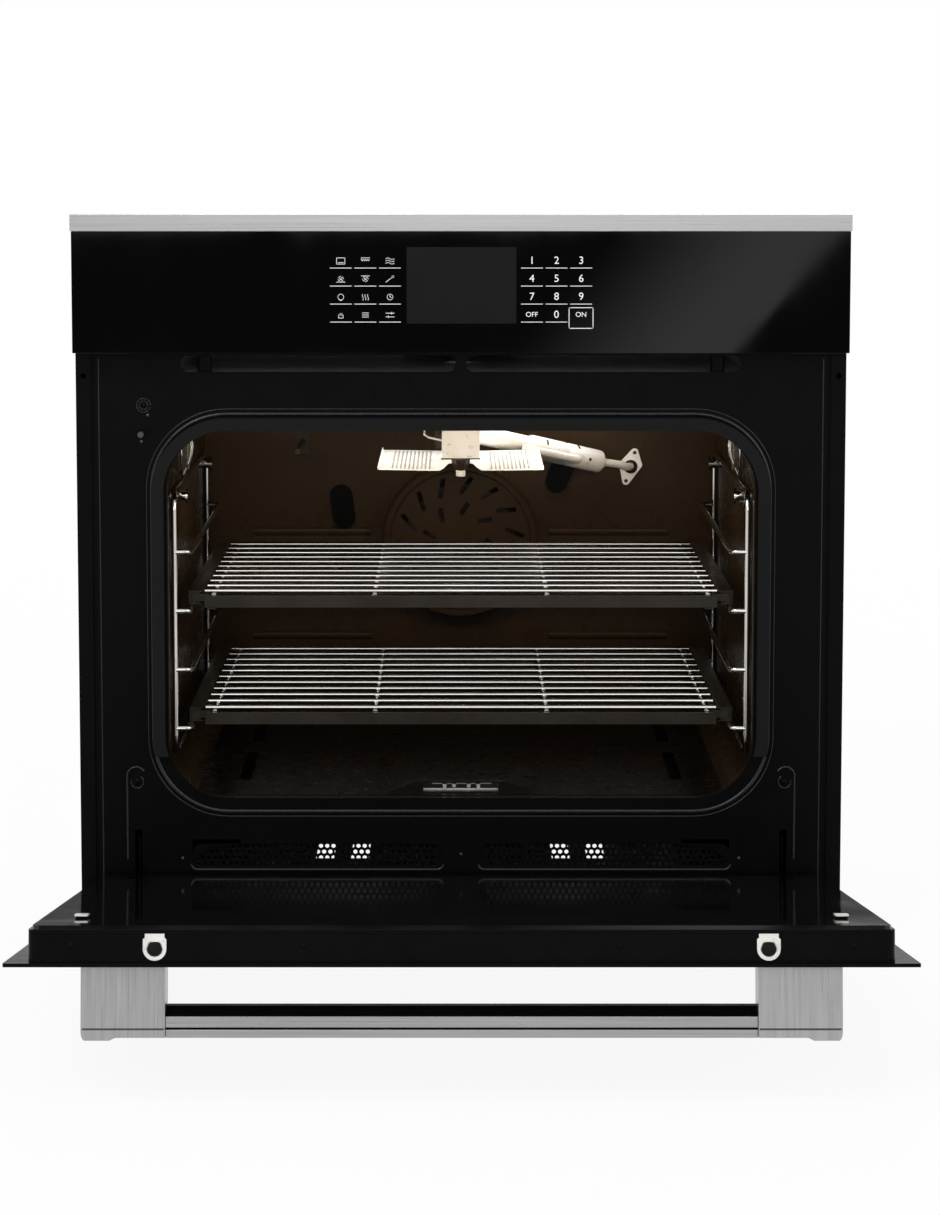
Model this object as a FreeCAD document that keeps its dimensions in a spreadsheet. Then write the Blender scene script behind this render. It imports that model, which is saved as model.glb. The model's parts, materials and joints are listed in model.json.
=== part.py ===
import FreeCAD, Part
import Sketcher
import math
import os

from FreeCAD import Placement, Rotation, Vector

# Built-in gas convection wall oven, door lowered to its stop.
# Millimetres. X to the right, Y into the cabinet, Z up.
# The origin is the centre of the chassis base, on its underside.
# Every size is a cell of the sheet. A Size carries both its number and its sheet formula,
# so that plain arithmetic on sizes gives the expressions the solids are bound to.

doc = FreeCAD.newDocument("WallOven")
sheet = doc.addObject("Spreadsheet::Sheet", "Sizes")
nodes = {}


class Size:
    """A length or angle with its value and its formula over the sheet's cells."""

    def __init__(self, value, formula=None):
        self.value = float(value)
        self.formula = formula if formula else f"{float(value):.6f}"

    def __float__(self):
        return self.value

    def __add__(self, other):
        other = as_size(other)
        return Size(self.value + other.value, f"({self.formula} + {other.formula})")

    def __sub__(self, other):
        other = as_size(other)
        return Size(self.value - other.value, f"({self.formula} - {other.formula})")

    def __mul__(self, factor):
        factor = as_size(factor)
        return Size(self.value * factor.value, f"({self.formula} * {factor.formula})")

    def __truediv__(self, factor):
        factor = as_size(factor)
        return Size(self.value / factor.value, f"({self.formula} / {factor.formula})")

    def __neg__(self):
        return Size(-self.value, f"(0 - {self.formula})")

    def __radd__(self, other):
        return as_size(other) + self

    def __rsub__(self, other):
        return as_size(other) - self

    def __rmul__(self, other):
        return self * other


def as_size(number):
    return number if isinstance(number, Size) else Size(number)


def cell(name, value):
    """Write one driving dimension into the sheet and return it."""
    row = cell.row
    cell.row = row + 1
    sheet.set(f"A{row}", name)
    sheet.set(f"B{row}", f"{value}")
    sheet.setAlias(f"B{row}", name)
    return Size(value, f"Sizes.{name}")


cell.row = 1

# ---------------------------------------------------------------- driving dimensions

oven_width = cell("oven_width", 755.6)
oven_height = cell("oven_height", 727.0)
chassis_width = cell("chassis_width", 716.0)
chassis_depth = cell("chassis_depth", 552.0)
top_margin = cell("top_margin", 41.0)
sheet_gauge = cell("sheet_gauge", 1.5)

frame_stand = cell("frame_stand", 18.0)
frame_inset = cell("frame_inset", 1.2)
frame_gauge = cell("frame_gauge", 2.0)
frame_base = cell("frame_base", 20.0)
frame_head = cell("frame_head", 20.0)
trim_width = cell("trim_width", 14.8)
trim_gauge = cell("trim_gauge", 1.6)
screw_hole = cell("screw_hole", 2.6)
screw_rise = cell("screw_rise", 24.0)

panel_height = cell("panel_height", 134.0)
panel_trim = cell("panel_trim", 16.0)
panel_stand = cell("panel_stand", 28.0)
panel_glass = cell("panel_glass", 4.0)
panel_inset = cell("panel_inset", 1.2)

floor_level = cell("floor_level", 150.0)
top_space = cell("top_space", 151.0)
side_space = cell("side_space", 70.0)
rear_space = cell("rear_space", 82.0)
cavity_corner = cell("cavity_corner", 25.0)
opening_corner = cell("opening_corner", 60.0)
opening_drop = cell("opening_drop", 19.0)
liner_gauge = cell("liner_gauge", 1.5)
insulation_wall = cell("insulation_wall", 35.0)
gasket_width = cell("gasket_width", 12.0)
running_gap = cell("running_gap", 0.3)

door_gap = cell("door_gap", 3.0)
door_stand = cell("door_stand", 16.0)
door_depth = cell("door_depth", 34.0)
door_glass = cell("door_glass", 3.2)
door_angle = cell("door_angle", 81.6)
pivot_height = cell("pivot_height", 53.0)
pivot_setback = cell("pivot_setback", 9.0)
door_tail = cell("door_tail", 22.0)
window_margin = cell("window_margin", 59.7)
hinge_inset = cell("hinge_inset", 38.5)
pin_radius = cell("pin_radius", 3.0)
bearing_gap = cell("bearing_gap", 0.05)

handle_stand = cell("handle_stand", 62.0)
handle_inset = cell("handle_inset", 62.8)
handle_block = cell("handle_block", 70.0)
bar_depth = cell("bar_depth", 26.0)
bar_height = cell("bar_height", 24.0)

rack_pitch = cell("rack_pitch", 59.0)
first_rung = cell("first_rung", 65.0)
rung_radius = cell("rung_radius", 3.0)
wire_radius = cell("wire_radius", 2.5)
rack_setback = cell("rack_setback", 48.0)
rail_length = cell("rail_length", 395.0)
rail_inset = cell("rail_inset", 16.0)
guide_gap = cell("guide_gap", 10.5)
lamp_radius = cell("lamp_radius", 23.5)

fan_height = cell("fan_height", 202.0)
cover_radius = cell("cover_radius", 87.0)
fan_radius = cell("fan_radius", 62.0)
shaft_radius = cell("shaft_radius", 4.0)
wheel_radius = cell("wheel_radius", 40.0)
pipe_radius = cell("pipe_radius", 4.0)
inlet_radius = cell("inlet_radius", 10.65)
inlet_clearance = cell("inlet_clearance", 1.5)
conduit_radius = cell("conduit_radius", 11.0)
burner_setback = cell("burner_setback", 86.0)

# ---------------------------------------------------------------- places worked out from them

half = chassis_width / 2
inner = half - sheet_gauge
front = -chassis_depth / 2
rear = chassis_depth / 2
face = front - frame_stand
behind = face + frame_gauge
frame_half = oven_width / 2 - frame_inset
frame_top = oven_height - frame_head
chassis_top = oven_height - top_margin
glass_front = face - panel_stand
glass_back = glass_front + panel_glass
panel_low = oven_height - panel_height
trim_low = oven_height - panel_trim

cavity_half = half - side_space
cavity_back = rear - rear_space
cavity_top = chassis_top - top_space
liner_half = cavity_half + liner_gauge
liner_back = cavity_back + liner_gauge
liner_top = cavity_top + liner_gauge
liner_low = floor_level - liner_gauge
opening_top = cavity_top - opening_drop
wool_half = liner_half + insulation_wall
wool_back = liner_back + insulation_wall
wool_top = liner_top + insulation_wall

pivot_y = glass_front - door_stand + pivot_setback
door_outer = -pivot_setback
door_pane = door_outer + door_glass
door_inner = door_depth - pivot_setback
door_top = panel_low - door_gap - pivot_height
closed_face = pivot_y + door_inner
box_half = oven_width / 2 - 20.3
hinge_x = half - hinge_inset

fan_z = floor_level + fan_height
lamp_y = behind + 150
lamp_z = cavity_top - 50
jack_y = lamp_y - 40
jack_z = cavity_top - 100
sensor_x = -cavity_half + 110
sensor_z = cavity_top - 75
burner_z = floor_level - 28
broil_z = cavity_top - 53
spud_x = cavity_half - 96
spud_z = cavity_top - 106
flue_y = behind + 142
blower_y = front + 314
blower_z = wool_top + 56
gas_x = half - 108
gas_z = Size(60)
conduit_x = -half + 78
conduit_z = chassis_top - 66
switch_x = -liner_half - 23.5
switch_z = opening_top - 4


# ---------------------------------------------------------------- building blocks

ALONG = {
    "x": Rotation(Vector(0, 1, 0), 90),
    "y": Rotation(Vector(1, 0, 0), -90),
    "z": Rotation(),
}


def place(item, x, y, z):
    """Bind an object's position to three formulas."""
    for axis, where in zip("xyz", (x, y, z)):
        item.setExpression("Placement.Base." + axis, as_size(where).formula)


def block(x, y, z):
    """A box between three pairs of planes."""
    item = doc.addObject("Part::Box", "Block")
    for edge, (low, high) in zip(("Length", "Width", "Height"), (x, y, z)):
        item.setExpression(edge, (as_size(high) - low).formula)
    place(item, x[0], y[0], z[0])
    return item


def rod(axis, centre, span, radius):
    """A cylinder along one axis; centre holds the other two coordinates in order."""
    item = doc.addObject("Part::Cylinder", "Rod")
    item.Placement = Placement(Vector(), ALONG[axis])
    item.setExpression("Radius", as_size(radius).formula)
    item.setExpression("Height", (as_size(span[1]) - span[0]).formula)
    where = list(centre)
    where.insert("xyz".index(axis), span[0])
    place(item, *where)
    return item


def panel(x, y, z, corner):
    """A plate across Y with rounded corners: a padded sketch with filleted edges."""
    body = doc.addObject("PartDesign::Body", "Panel")
    sketch = body.newObject("Sketcher::SketchObject", "Outline")
    plane = next(item for item in body.Origin.OriginFeatures if item.Role == "XZ_Plane")
    sketch.AttachmentSupport = [(plane, "")]
    sketch.MapMode = "FlatFace"
    width = as_size(x[1]) - x[0]
    height = as_size(z[1]) - z[0]
    corners = [(0, 0), (float(width), 0), (float(width), float(height)), (0, float(height))]
    for index, (u, w) in enumerate(corners):
        after = corners[(index + 1) % 4]
        sketch.addGeometry(Part.LineSegment(Vector(u, w, 0), Vector(after[0], after[1], 0)))
    constrain(sketch, width, height)
    pad = body.newObject("PartDesign::Pad", "Thickness")
    pad.Profile = sketch
    pad.setExpression("Length", (as_size(y[1]) - y[0]).formula)
    pad.Reversed = True
    body.Tip = pad
    doc.recompute()
    edges = [
        f"Edge{number}"
        for number, edge in enumerate(pad.Shape.Edges, 1)
        if abs(edge.Vertexes[0].Y - edge.Vertexes[1].Y) > 1e-6
    ]
    rounding = body.newObject("PartDesign::Fillet", "Corners")
    rounding.Base = (pad, edges)
    rounding.setExpression("Radius", as_size(corner).formula)
    pad.Visibility = False
    body.Tip = rounding
    place(body, x[0], y[0], z[0])
    return body


def constrain(sketch, width, height):
    """Tie a rectangle from the sketch's origin to its width and height."""
    for index in range(4):
        sketch.addConstraint(Sketcher.Constraint("Coincident", index, 2, (index + 1) % 4, 1))
    for index in (0, 2):
        sketch.addConstraint(Sketcher.Constraint("Horizontal", index))
        sketch.addConstraint(Sketcher.Constraint("Vertical", index + 1))
    sketch.addConstraint(Sketcher.Constraint("Coincident", 0, 1, -1, 1))
    across = sketch.addConstraint(Sketcher.Constraint("DistanceX", 0, 1, 0, 2, float(width)))
    up = sketch.addConstraint(Sketcher.Constraint("DistanceY", 1, 1, 1, 2, float(height)))
    sketch.setExpression(f"Constraints[{across}]", width.formula)
    sketch.setExpression(f"Constraints[{up}]", height.formula)


def group(*items):
    """Separate solids kept side by side."""
    item = doc.addObject("Part::Compound", "Group")
    item.Links = list(items)
    return item


def join(*items):
    """One solid from touching ones."""
    item = doc.addObject("Part::MultiFuse", "Join")
    item.Shapes = list(items)
    item.Refine = True
    return item


def cut(base, *tools):
    """The base less every tool; the tools don't touch one another."""
    item = doc.addObject("Part::Cut", "Cut")
    item.Base = base
    item.Tool = tools[0] if len(tools) == 1 else group(*tools)
    return item


def mirrored(item):
    """The same piece on the other side of the oven."""
    twin = doc.addObject("Part::Mirroring", "Twin")
    twin.Source = item
    twin.Normal = Vector(1, 0, 0)
    return twin


def pair(item):
    return group(item, mirrored(item))


def solid(shape):
    """A shape made by code, as an object of the document."""
    item = doc.addObject("Part::Feature", "Solid")
    item.Shape = shape
    return item


def node(name, item):
    """Name one finished piece."""
    item.Label = name
    nodes[name] = item
    return item


def hung(name, item):
    """Name a door piece, modelled closed about the hinge pivot, and lower it."""
    item = group(item)
    item.Placement = Placement(Vector(), Rotation(Vector(1, 0, 0), float(door_angle)))
    item.setExpression("Placement.Rotation.Angle", door_angle.formula)
    place(item, 0, pivot_y, pivot_height)
    return node(name, item)


def spot(x, y, z):
    return Vector(float(x), float(y), float(z))


def bent_rod(points, radius, bend):
    """A round rod along straight runs joined by arcs of one radius."""
    edges = []
    start = points[0]
    for before, corner, after in zip(points, points[1:], points[2:]):
        back = (before - corner).normalize()
        ahead = (after - corner).normalize()
        half_turn = (math.pi - back.getAngle(ahead)) / 2
        reach = bend * math.tan(half_turn)
        middle = (back + ahead).normalize() * (bend / math.cos(half_turn) - bend)
        first = corner + back * reach
        last = corner + ahead * reach
        edges.append(Part.LineSegment(start, first).toShape())
        edges.append(Part.Arc(first, corner + middle, last).toShape())
        start = last
    edges.append(Part.LineSegment(start, points[-1]).toShape())
    path = Part.Wire(edges)
    ring = Part.Wire(Part.makeCircle(float(radius), points[0], points[1] - points[0]))
    return path.makePipeShell([ring], True, False)


def prism(outline, y):
    """A straight bar across Y from an outline of X, Z points."""
    low = float(y[0])
    loop = Part.makePolygon([Vector(x, low, z) for x, z in outline + outline[:1]])
    return Part.Face(loop).extrude(Vector(0, float(y[1]) - low, 0))


def fused(shapes):
    return shapes[0].multiFuse(shapes[1:]).removeSplitter()


# ---------------------------------------------------------------- chassis sheets

def build_chassis():
    inside = inner - sheet_gauge
    back = rear - sheet_gauge
    rim = 22
    pan = cut(
        block((-inner, inner), (behind, back), (0, rim)),
        block((-inside, inside), (behind + sheet_gauge, back - sheet_gauge), (sheet_gauge, rim + 1)),
    )
    slots = []
    for x, width, start, end in ((112, 20, 170, 90), (151, 20, 170, 90), (218, 50, 70, 52)):
        hole = block((x - width / 2, x + width / 2), (rear - start, rear - end), (-1, sheet_gauge + 1))
        slots += [hole, mirrored(hole)]
    node("base_pan", cut(pan, *slots))

    wall = block((-half, -inner), (behind, rear), (0, chassis_top))
    louvres = [
        block((-half - 1, -inner + 1), (rear - 170, rear - 90), (chassis_top - drop, chassis_top - drop + 6))
        for drop in range(30, 102, 12)
    ]
    node("side_panels", pair(cut(wall, *louvres)))

    back_wall = block((-inner, inner), (back, rear), (0, chassis_top))
    vents = [
        block((x, x + 60), (back - 1, rear + 1), (chassis_top - drop, chassis_top - drop + 6))
        for x in (-60, 40, 140) for drop in range(30, 78, 12)
    ]
    inlet = rod("y", (gas_x, gas_z), (back - 1, rear + 1), inlet_radius + inlet_clearance)
    conduit = rod("y", (conduit_x, conduit_z), (back - 1, rear + 1), conduit_radius + 3)
    node("rear_panel", cut(back_wall, inlet, conduit, *vents))

    lid = block((-inner, inner), (behind, back), (chassis_top - sheet_gauge, chassis_top))
    lid_vents = [
        block((x, x + 90), (y, y + 8), (chassis_top - sheet_gauge - 1, chassis_top + 1))
        for x in (-270, -135, 45, 180) for y in (-120, -100, -80)
    ]
    node("top_cover", cut(lid, *lid_vents))


# ---------------------------------------------------------------- front frame and its trims

vent_half = cavity_half - 14
vent_low = wool_top + 1.5
vent_high = vent_low + 16
grille_low = floor_level - 69
grille_high = grille_low + 23
cabinet_x = frame_half - trim_width / 2
screw_low = frame_base + screw_rise
screw_high = panel_low - screw_rise


def cabinet_holes(span):
    """The four screw holes that hold the oven to its cabinet."""
    return [
        rod("y", (side * cabinet_x, z), span, screw_hole)
        for side in (-1, 1) for z in (screw_low, screw_high)
    ]


def build_frame():
    height = (frame_base, frame_top)
    plate = block((-frame_half, frame_half), (face, behind), height)
    edge = block((-frame_half, -frame_half + sheet_gauge), (behind, front), height)
    flange = block((-frame_half, -half - 1), (front - sheet_gauge, front), height)
    head = block((-frame_half, frame_half), (behind, front), (frame_top - sheet_gauge, frame_top))
    blank = join(plate, edge, mirrored(edge), flange, mirrored(flange), head)
    through = (face - 1, behind + 1)
    opening = panel((-liner_half, liner_half), through, (floor_level, opening_top), opening_corner)
    vent = panel((-vent_half, -5.5), through, (vent_low, vent_high), 7)
    recess = panel((-vent_half + 8, -19), through, (grille_low, grille_high), 9)
    slot = block((-hinge_x - 3.5, -hinge_x + 3.5), through, (48, 118))
    plunger = rod("y", (switch_x, switch_z), through, 3.3)
    groove_at = (face - 1, face + 1)
    ring_half = liner_half + gasket_width + 1.5
    ring_low = floor_level - 16
    ring_high = opening_top + gasket_width + 1.5
    groove = cut(
        panel((-ring_half - 2, ring_half + 2), groove_at, (ring_low - 2, ring_high + 2), opening_corner + 16),
        panel((-ring_half, ring_half), groove_at, (ring_low, ring_high), opening_corner + 14),
    )
    line = block((-frame_half + trim_width + 0.6, -frame_half + trim_width + 3), groove_at, height)
    openings = [opening, vent, mirrored(vent), recess, mirrored(recess), slot, mirrored(slot)]
    grooves = [groove, line, mirrored(line), plunger]
    node("front_frame", cut(blank, *openings, *grooves, *cabinet_holes((face - 1, front + 1))))

    strip_z = (frame_base, panel_low - 2)
    strip = block((-frame_half, -frame_half + trim_width), (face - trim_gauge, face), strip_z)
    strips = pair(strip)
    node("side_trims", cut(strips, *cabinet_holes((face - trim_gauge - 1, face + 1))))

    grille = panel((-vent_half + 4, -15), (behind, behind + 1), (grille_low - 4, grille_high + 4), 9)
    holes = []
    pitch = 6.2
    row_count = 4
    first = float(vent_half) - 8 - pitch
    columns = int((first - 22) / pitch)
    for row in range(row_count):
        z = grille_low + 2.6 + row * pitch * 0.95
        for column in range(columns):
            x = -first + pitch * (column + 0.5 * (row % 2))
            holes.append(rod("y", (x, z), (behind - 1, behind + 2), 2.1))
    node("intake_grilles", pair(cut(grille, *holes)))


# ---------------------------------------------------------------- oven cavity

def build_cavity():
    shell_y = (behind, liner_back)
    shell = cut(
        panel((-liner_half, liner_half), shell_y, (liner_low, liner_top), cavity_corner + liner_gauge),
        panel((-cavity_half, cavity_half), (behind, cavity_back), (floor_level, cavity_top), cavity_corner),
    )
    well_half = cavity_half - cavity_corner - 15
    well = block((-well_half, well_half), (behind + 20, cavity_back - 20), (liner_low - 1, floor_level + 1))
    back = (cavity_back - 1, liner_back + 1)
    shaft = rod("y", (0, fan_z), back, shaft_radius + 3)
    spud = rod("y", (spud_x, spud_z), back, pipe_radius + 2)
    sensor = rod("y", (sensor_x, sensor_z), back, 4)
    lamp = rod("x", (lamp_y, lamp_z), (cavity_half - 1, liner_half + 1), lamp_radius + 0.5)
    jack = rod("x", (jack_y, jack_z), (cavity_half - 1, liner_half + 1), 5.5)
    flue = rod("z", (0, flue_y), (cavity_top - 1, liner_top + 1), 16.5)
    louvre_right = panel((104, 122), back, (fan_z + 55, fan_z + 95), 8)
    louvre_left = panel((-142, -124), back, (fan_z + 15, fan_z + 55), 8)
    holes = [well, shaft, spud, sensor, lamp, mirrored(lamp), jack, flue, louvre_right, louvre_left]
    node("cavity_liner", cut(shell, *holes))

    wool = cut(
        block((-wool_half, wool_half), (behind, wool_back), (floor_level, wool_top)),
        block((-liner_half, liner_half), (behind - 1, liner_back), (floor_level - 1, liner_top)),
    )
    through = (liner_back - 1, wool_back + 1)
    passages = [
        rod("y", (0, fan_z), through, shaft_radius + 6),
        rod("y", (spud_x, spud_z), through, pipe_radius + 2),
        rod("y", (sensor_x, sensor_z), through, 5),
        rod("z", (0, flue_y), (liner_top - 1, wool_top + 1), 18.5),
        rod("x", (lamp_y, lamp_z), (liner_half - 1, wool_half + 1), lamp_radius + 3),
        rod("x", (lamp_y, lamp_z), (-wool_half - 1, -liner_half + 1), lamp_radius + 3),
        rod("x", (jack_y, jack_z), (liner_half - 1, wool_half + 1), 9),
        block((switch_x - 10, switch_x + 10), (behind - 1, behind + 27), (switch_z - 13, switch_z + 13)),
    ]
    node("insulation", cut(wool, *passages))

    seal_y = (closed_face + running_gap, face)
    outer_half = liner_half + gasket_width + 2
    seal = cut(
        panel((-outer_half, outer_half), seal_y, (floor_level - 14, opening_top + gasket_width), opening_corner + 14),
        panel((-liner_half - 2, liner_half + 2), seal_y, (floor_level, opening_top), opening_corner + 2),
        )
    below = block((-half, half), (seal_y[0] - 1, face + 1), (floor_level - 20, floor_level + 43))
    node("door_gasket", cut(seal, below))


def build_floor():
    floor_half = cavity_half - cavity_corner - 0.5
    top = floor_level + 1.2
    plate = block((-floor_half, floor_half), (behind + 8, cavity_back - 1), (floor_level, top))
    hood_y = (behind + 18, behind + 26)
    z = float(top)
    hood = solid(prism([(-77, z), (-46, z + 11.4), (46, z + 11.4), (77, z)], hood_y))
    window = block((-37.5, 37.5), (hood_y[0] - 1, hood_y[1] + 1), (top + 1.2, top + 10))
    slots = []
    for start, end in ((behind + 87, behind + 240), (behind + 300, behind + 434)):
        slot = block((213.5, 225.5), (start, end), (floor_level - 1, top + 1))
        slots += [slot, mirrored(slot)]
    node("oven_floor", cut(join(plate, hood), window, *slots))


# ---------------------------------------------------------------- gas burners and gas train

def build_bake_burner():
    tray_half = cavity_half - cavity_corner - 23
    tray_y = (behind + 40, cavity_back - 14)
    wall = 1.2
    tray = cut(
        block((-tray_half, tray_half), tray_y, (burner_z - 24, liner_low)),
        block(
            (-tray_half + wall, tray_half - wall),
            (tray_y[0] + wall, tray_y[1] - wall),
            (burner_z - 24 + wall, liner_low + 1),
        ),
        rod("y", (0, burner_z), (tray_y[1] - wall - 1, tray_y[1] + 1), 12.3),
    )
    ports = [
        block((x, x + 34), (tray_y[0] + 60, tray_y[0] + 300), (burner_z - 26, burner_z - 22))
        for x in (-150, 116)
    ]
    node("burner_tray", cut(tray, *ports))

    tube_end = tray_y[1] - 70
    tube = rod("y", (0, burner_z), (tray_y[0] + 40, tube_end), 14)
    neck = rod("y", (0, burner_z), (tube_end, tray_y[1] + 6), 12)
    bore = rod("y", (0, burner_z), (tray_y[0] + 42, tray_y[1] + 7), 9)
    foot = block((-9, 9), (tray_y[0] + 60, tray_y[0] + 62), (burner_z - 24 + wall, burner_z - 13))
    rear_foot = block((-9, 9), (tube_end - 22, tube_end - 20), (burner_z - 24 + wall, burner_z - 13))
    node("bake_burner", cut(join(tube, neck, foot, rear_foot), bore))

    plate_y = (tray_y[0] + 30, tube_end + 10)
    plate = block((-80, 80), plate_y, (burner_z + 19, burner_z + 20))
    leg = block((79, 80), plate_y, (burner_z - 24 + wall, burner_z + 19))
    node("flame_spreader", join(plate, leg, mirrored(leg)))

    bake_spark = block((16, 26), (tray_y[0] + 120, tray_y[0] + 170), (burner_z - 8, burner_z + 8))
    bake_foot = block((19, 23), (tray_y[0] + 140, tray_y[0] + 150), (burner_z - 24 + wall, burner_z - 8))
    broil_spark = block((-27, -15), (-60, -10), (broil_z - 6, broil_z + 8))
    stem = block((-22, -19), (-40, -30), (broil_z + 8, cavity_top))
    node("igniters", group(join(bake_spark, bake_foot), join(broil_spark, stem)))
    return tray_y[1] + 6


def build_broil_burner():
    start = behind + 175
    end = cavity_back - burner_setback
    barrel = rod("y", (0, broil_z), (start, end), 14)
    strap = block((-19.5, 19.5), (start - 5, start - 3), (broil_z - 11, cavity_top))
    lug = block((-6, 6), (start - 3, start), (broil_z - 6, broil_z + 6))
    knob = rod("z", (0, start - 4), (broil_z - 26, broil_z - 11), 6)
    hanger = block((-12, 12), (end - 30, end - 28), (broil_z, cavity_top))
    elbow = spot(0, end - 20, broil_z)
    mouth = spot(spud_x - 41, cavity_back - 28, spud_z + 11)
    flow = mouth - elbow
    venturi = Part.makeCylinder(11, flow.Length, elbow, flow)
    socket = Part.makeCylinder(13.5, 32, mouth, flow)
    tip = spot(spud_x, cavity_back - 3, spud_z)
    link = bent_rod([mouth + flow.normalize() * 30, spot(spud_x, cavity_back - 14, spud_z), tip], 5, 4)
    diamond = panel((spud_x - 13, spud_x + 13), (cavity_back - 3, cavity_back), (spud_z - 20, spud_z + 20), 12)
    pieces = [barrel, strap, lug, knob, hanger, solid(venturi), solid(socket), solid(link), diamond]
    holes = [
        rod("y", (spud_x + side * 3, spud_z + side * 15), (cavity_back - 4, cavity_back + 1), 2)
        for side in (-1, 1)
    ]
    node("broil_burner", cut(join(*pieces), *holes))

    low = float(broil_z) - 23
    wing = [(-86, low), (-20, low - 1), (-12, low + 7), (12, low + 7), (20, low - 1), (86, low)]
    back = [(x, z + 1.2) for x, z in reversed(wing)]
    screen = solid(prism(wing + back, (start, end - 10)))
    knob_hole = rod("z", (0, start - 4), (broil_z - 30, broil_z - 10), 6 + running_gap)
    post = block((-4, 4), (start + 60, start + 62), (broil_z - 15, broil_z - 14))
    tail = block((-4, 4), (end - 40, end - 38), (broil_z - 15, broil_z - 14))
    node("broil_screen", cut(join(screen, post, tail), knob_hole))


def build_gas_train(orifice_y):
    stub_start = rear - 61
    stub = rod("y", (gas_x, gas_z), (stub_start, rear + 24), inlet_radius)
    bore = rod("y", (gas_x, gas_z), (stub_start - 1, rear + 25), inlet_radius - 2.7)
    inlet = cut(stub, bore)

    dome = rod("y", (gas_x, gas_z), (stub_start - 30, stub_start), 22)
    cap = rod("y", (gas_x, gas_z), (stub_start - 42, stub_start - 30), 13)
    leg = block((gas_x - 10, gas_x + 10), (stub_start - 24, stub_start - 12), (sheet_gauge, gas_z - 20))
    node("pressure_regulator", join(dome, cap, leg))

    valve_x = gas_x - 70
    valve_y = (stub_start - 34, stub_start - 2)
    valve_mid = stub_start - 18
    body = block((valve_x - 30, valve_x + 30), valve_y, (gas_z - 18, gas_z + 18))
    coil = rod("z", (valve_x - 14, valve_mid), (gas_z + 18, gas_z + 36), 9)
    feet = block((valve_x - 24, valve_x + 24), (valve_mid - 6, valve_mid + 6), (sheet_gauge, gas_z - 18))
    tie = rod("x", (valve_mid, gas_z), (valve_x + 30, gas_x - 21.5), 5)
    node("safety_valve", join(body, coil, feet, cut(tie, rod("y", (gas_x, gas_z), valve_y, 22))))

    lift = gas_z + 18
    bake = bent_rod(
        [
            spot(valve_x + 8, valve_mid, lift),
            spot(valve_x + 8, valve_mid, burner_z),
            spot(valve_x + 8, orifice_y + 20, burner_z),
            spot(0, orifice_y + 20, burner_z),
            spot(0, orifice_y + running_gap, burner_z),
        ],
        pipe_radius, 6,
    )
    broil = bent_rod(
        [
            spot(valve_x + 22, valve_mid, lift),
            spot(valve_x + 22, valve_mid, lift + 24),
            spot(valve_x + 22, wool_back + 14, lift + 24),
            spot(valve_x + 22, wool_back + 14, lift + 60),
            spot(spud_x, wool_back + 14, lift + 60),
            spot(spud_x, wool_back + 14, spud_z),
            spot(spud_x, cavity_back + running_gap, spud_z),
        ],
        pipe_radius, 8,
    )
    node("gas_pipes", group(inlet, solid(bake), solid(broil)))


# ---------------------------------------------------------------- fans, lamps, probes

def turned(shape, centre, axis, angle):
    copy = shape.copy()
    copy.rotate(centre, axis, angle)
    return copy


def build_convection():
    hub = spot(0, 0, fan_z)
    along = Vector(0, 1, 0)
    cover_front = cavity_back - 26
    cap = rod("y", (0, fan_z), (cover_front, cavity_back), cover_radius)
    hollow = rod("y", (0, fan_z), (cover_front + 1.2, cavity_back + 1), cover_radius - 1.2)
    slots = []
    for ring_radius, count, length in ((28, 8, 16), (52, 14, 22)):
        bar = Part.makeBox(5, 4, length, Vector(-2.5, float(cover_front) - 1, float(fan_z) + ring_radius))
        lean = turned(bar, spot(0, 0, float(fan_z) + ring_radius), along, 35)
        slots += [turned(lean, hub, along, 360 / count * step) for step in range(count)]
    node("fan_cover", cut(cut(cap, hollow), solid(Part.makeCompound(slots))))

    disc = rod("y", (0, fan_z), (cavity_back - 9, cavity_back - 7.5), fan_radius)
    boss = rod("y", (0, fan_z), (cavity_back - 20, cavity_back - 4), 9)
    shaft = rod("y", (0, fan_z), (cavity_back - 5, wool_back + 27), shaft_radius)
    length = float(fan_radius) - 22
    blade = Part.makeBox(1.2, 13, length, Vector(-0.6, float(cavity_back) - 22, float(fan_z) + 22))
    blades = [solid(turned(blade, hub, along, 45 * step)) for step in range(8)]
    node("convection_fan", join(disc, boss, shaft, *blades))

    can = rod("y", (0, fan_z), (wool_back + 3, wool_back + 30), 36)
    plate = block((-48, 48), (wool_back, wool_back + 3), (fan_z - 48, fan_z + 48))
    bore = rod("y", (0, fan_z), (wool_back - 1, wool_back + 31), shaft_radius + bearing_gap)
    node("convection_motor", cut(join(can, plate), bore))


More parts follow.
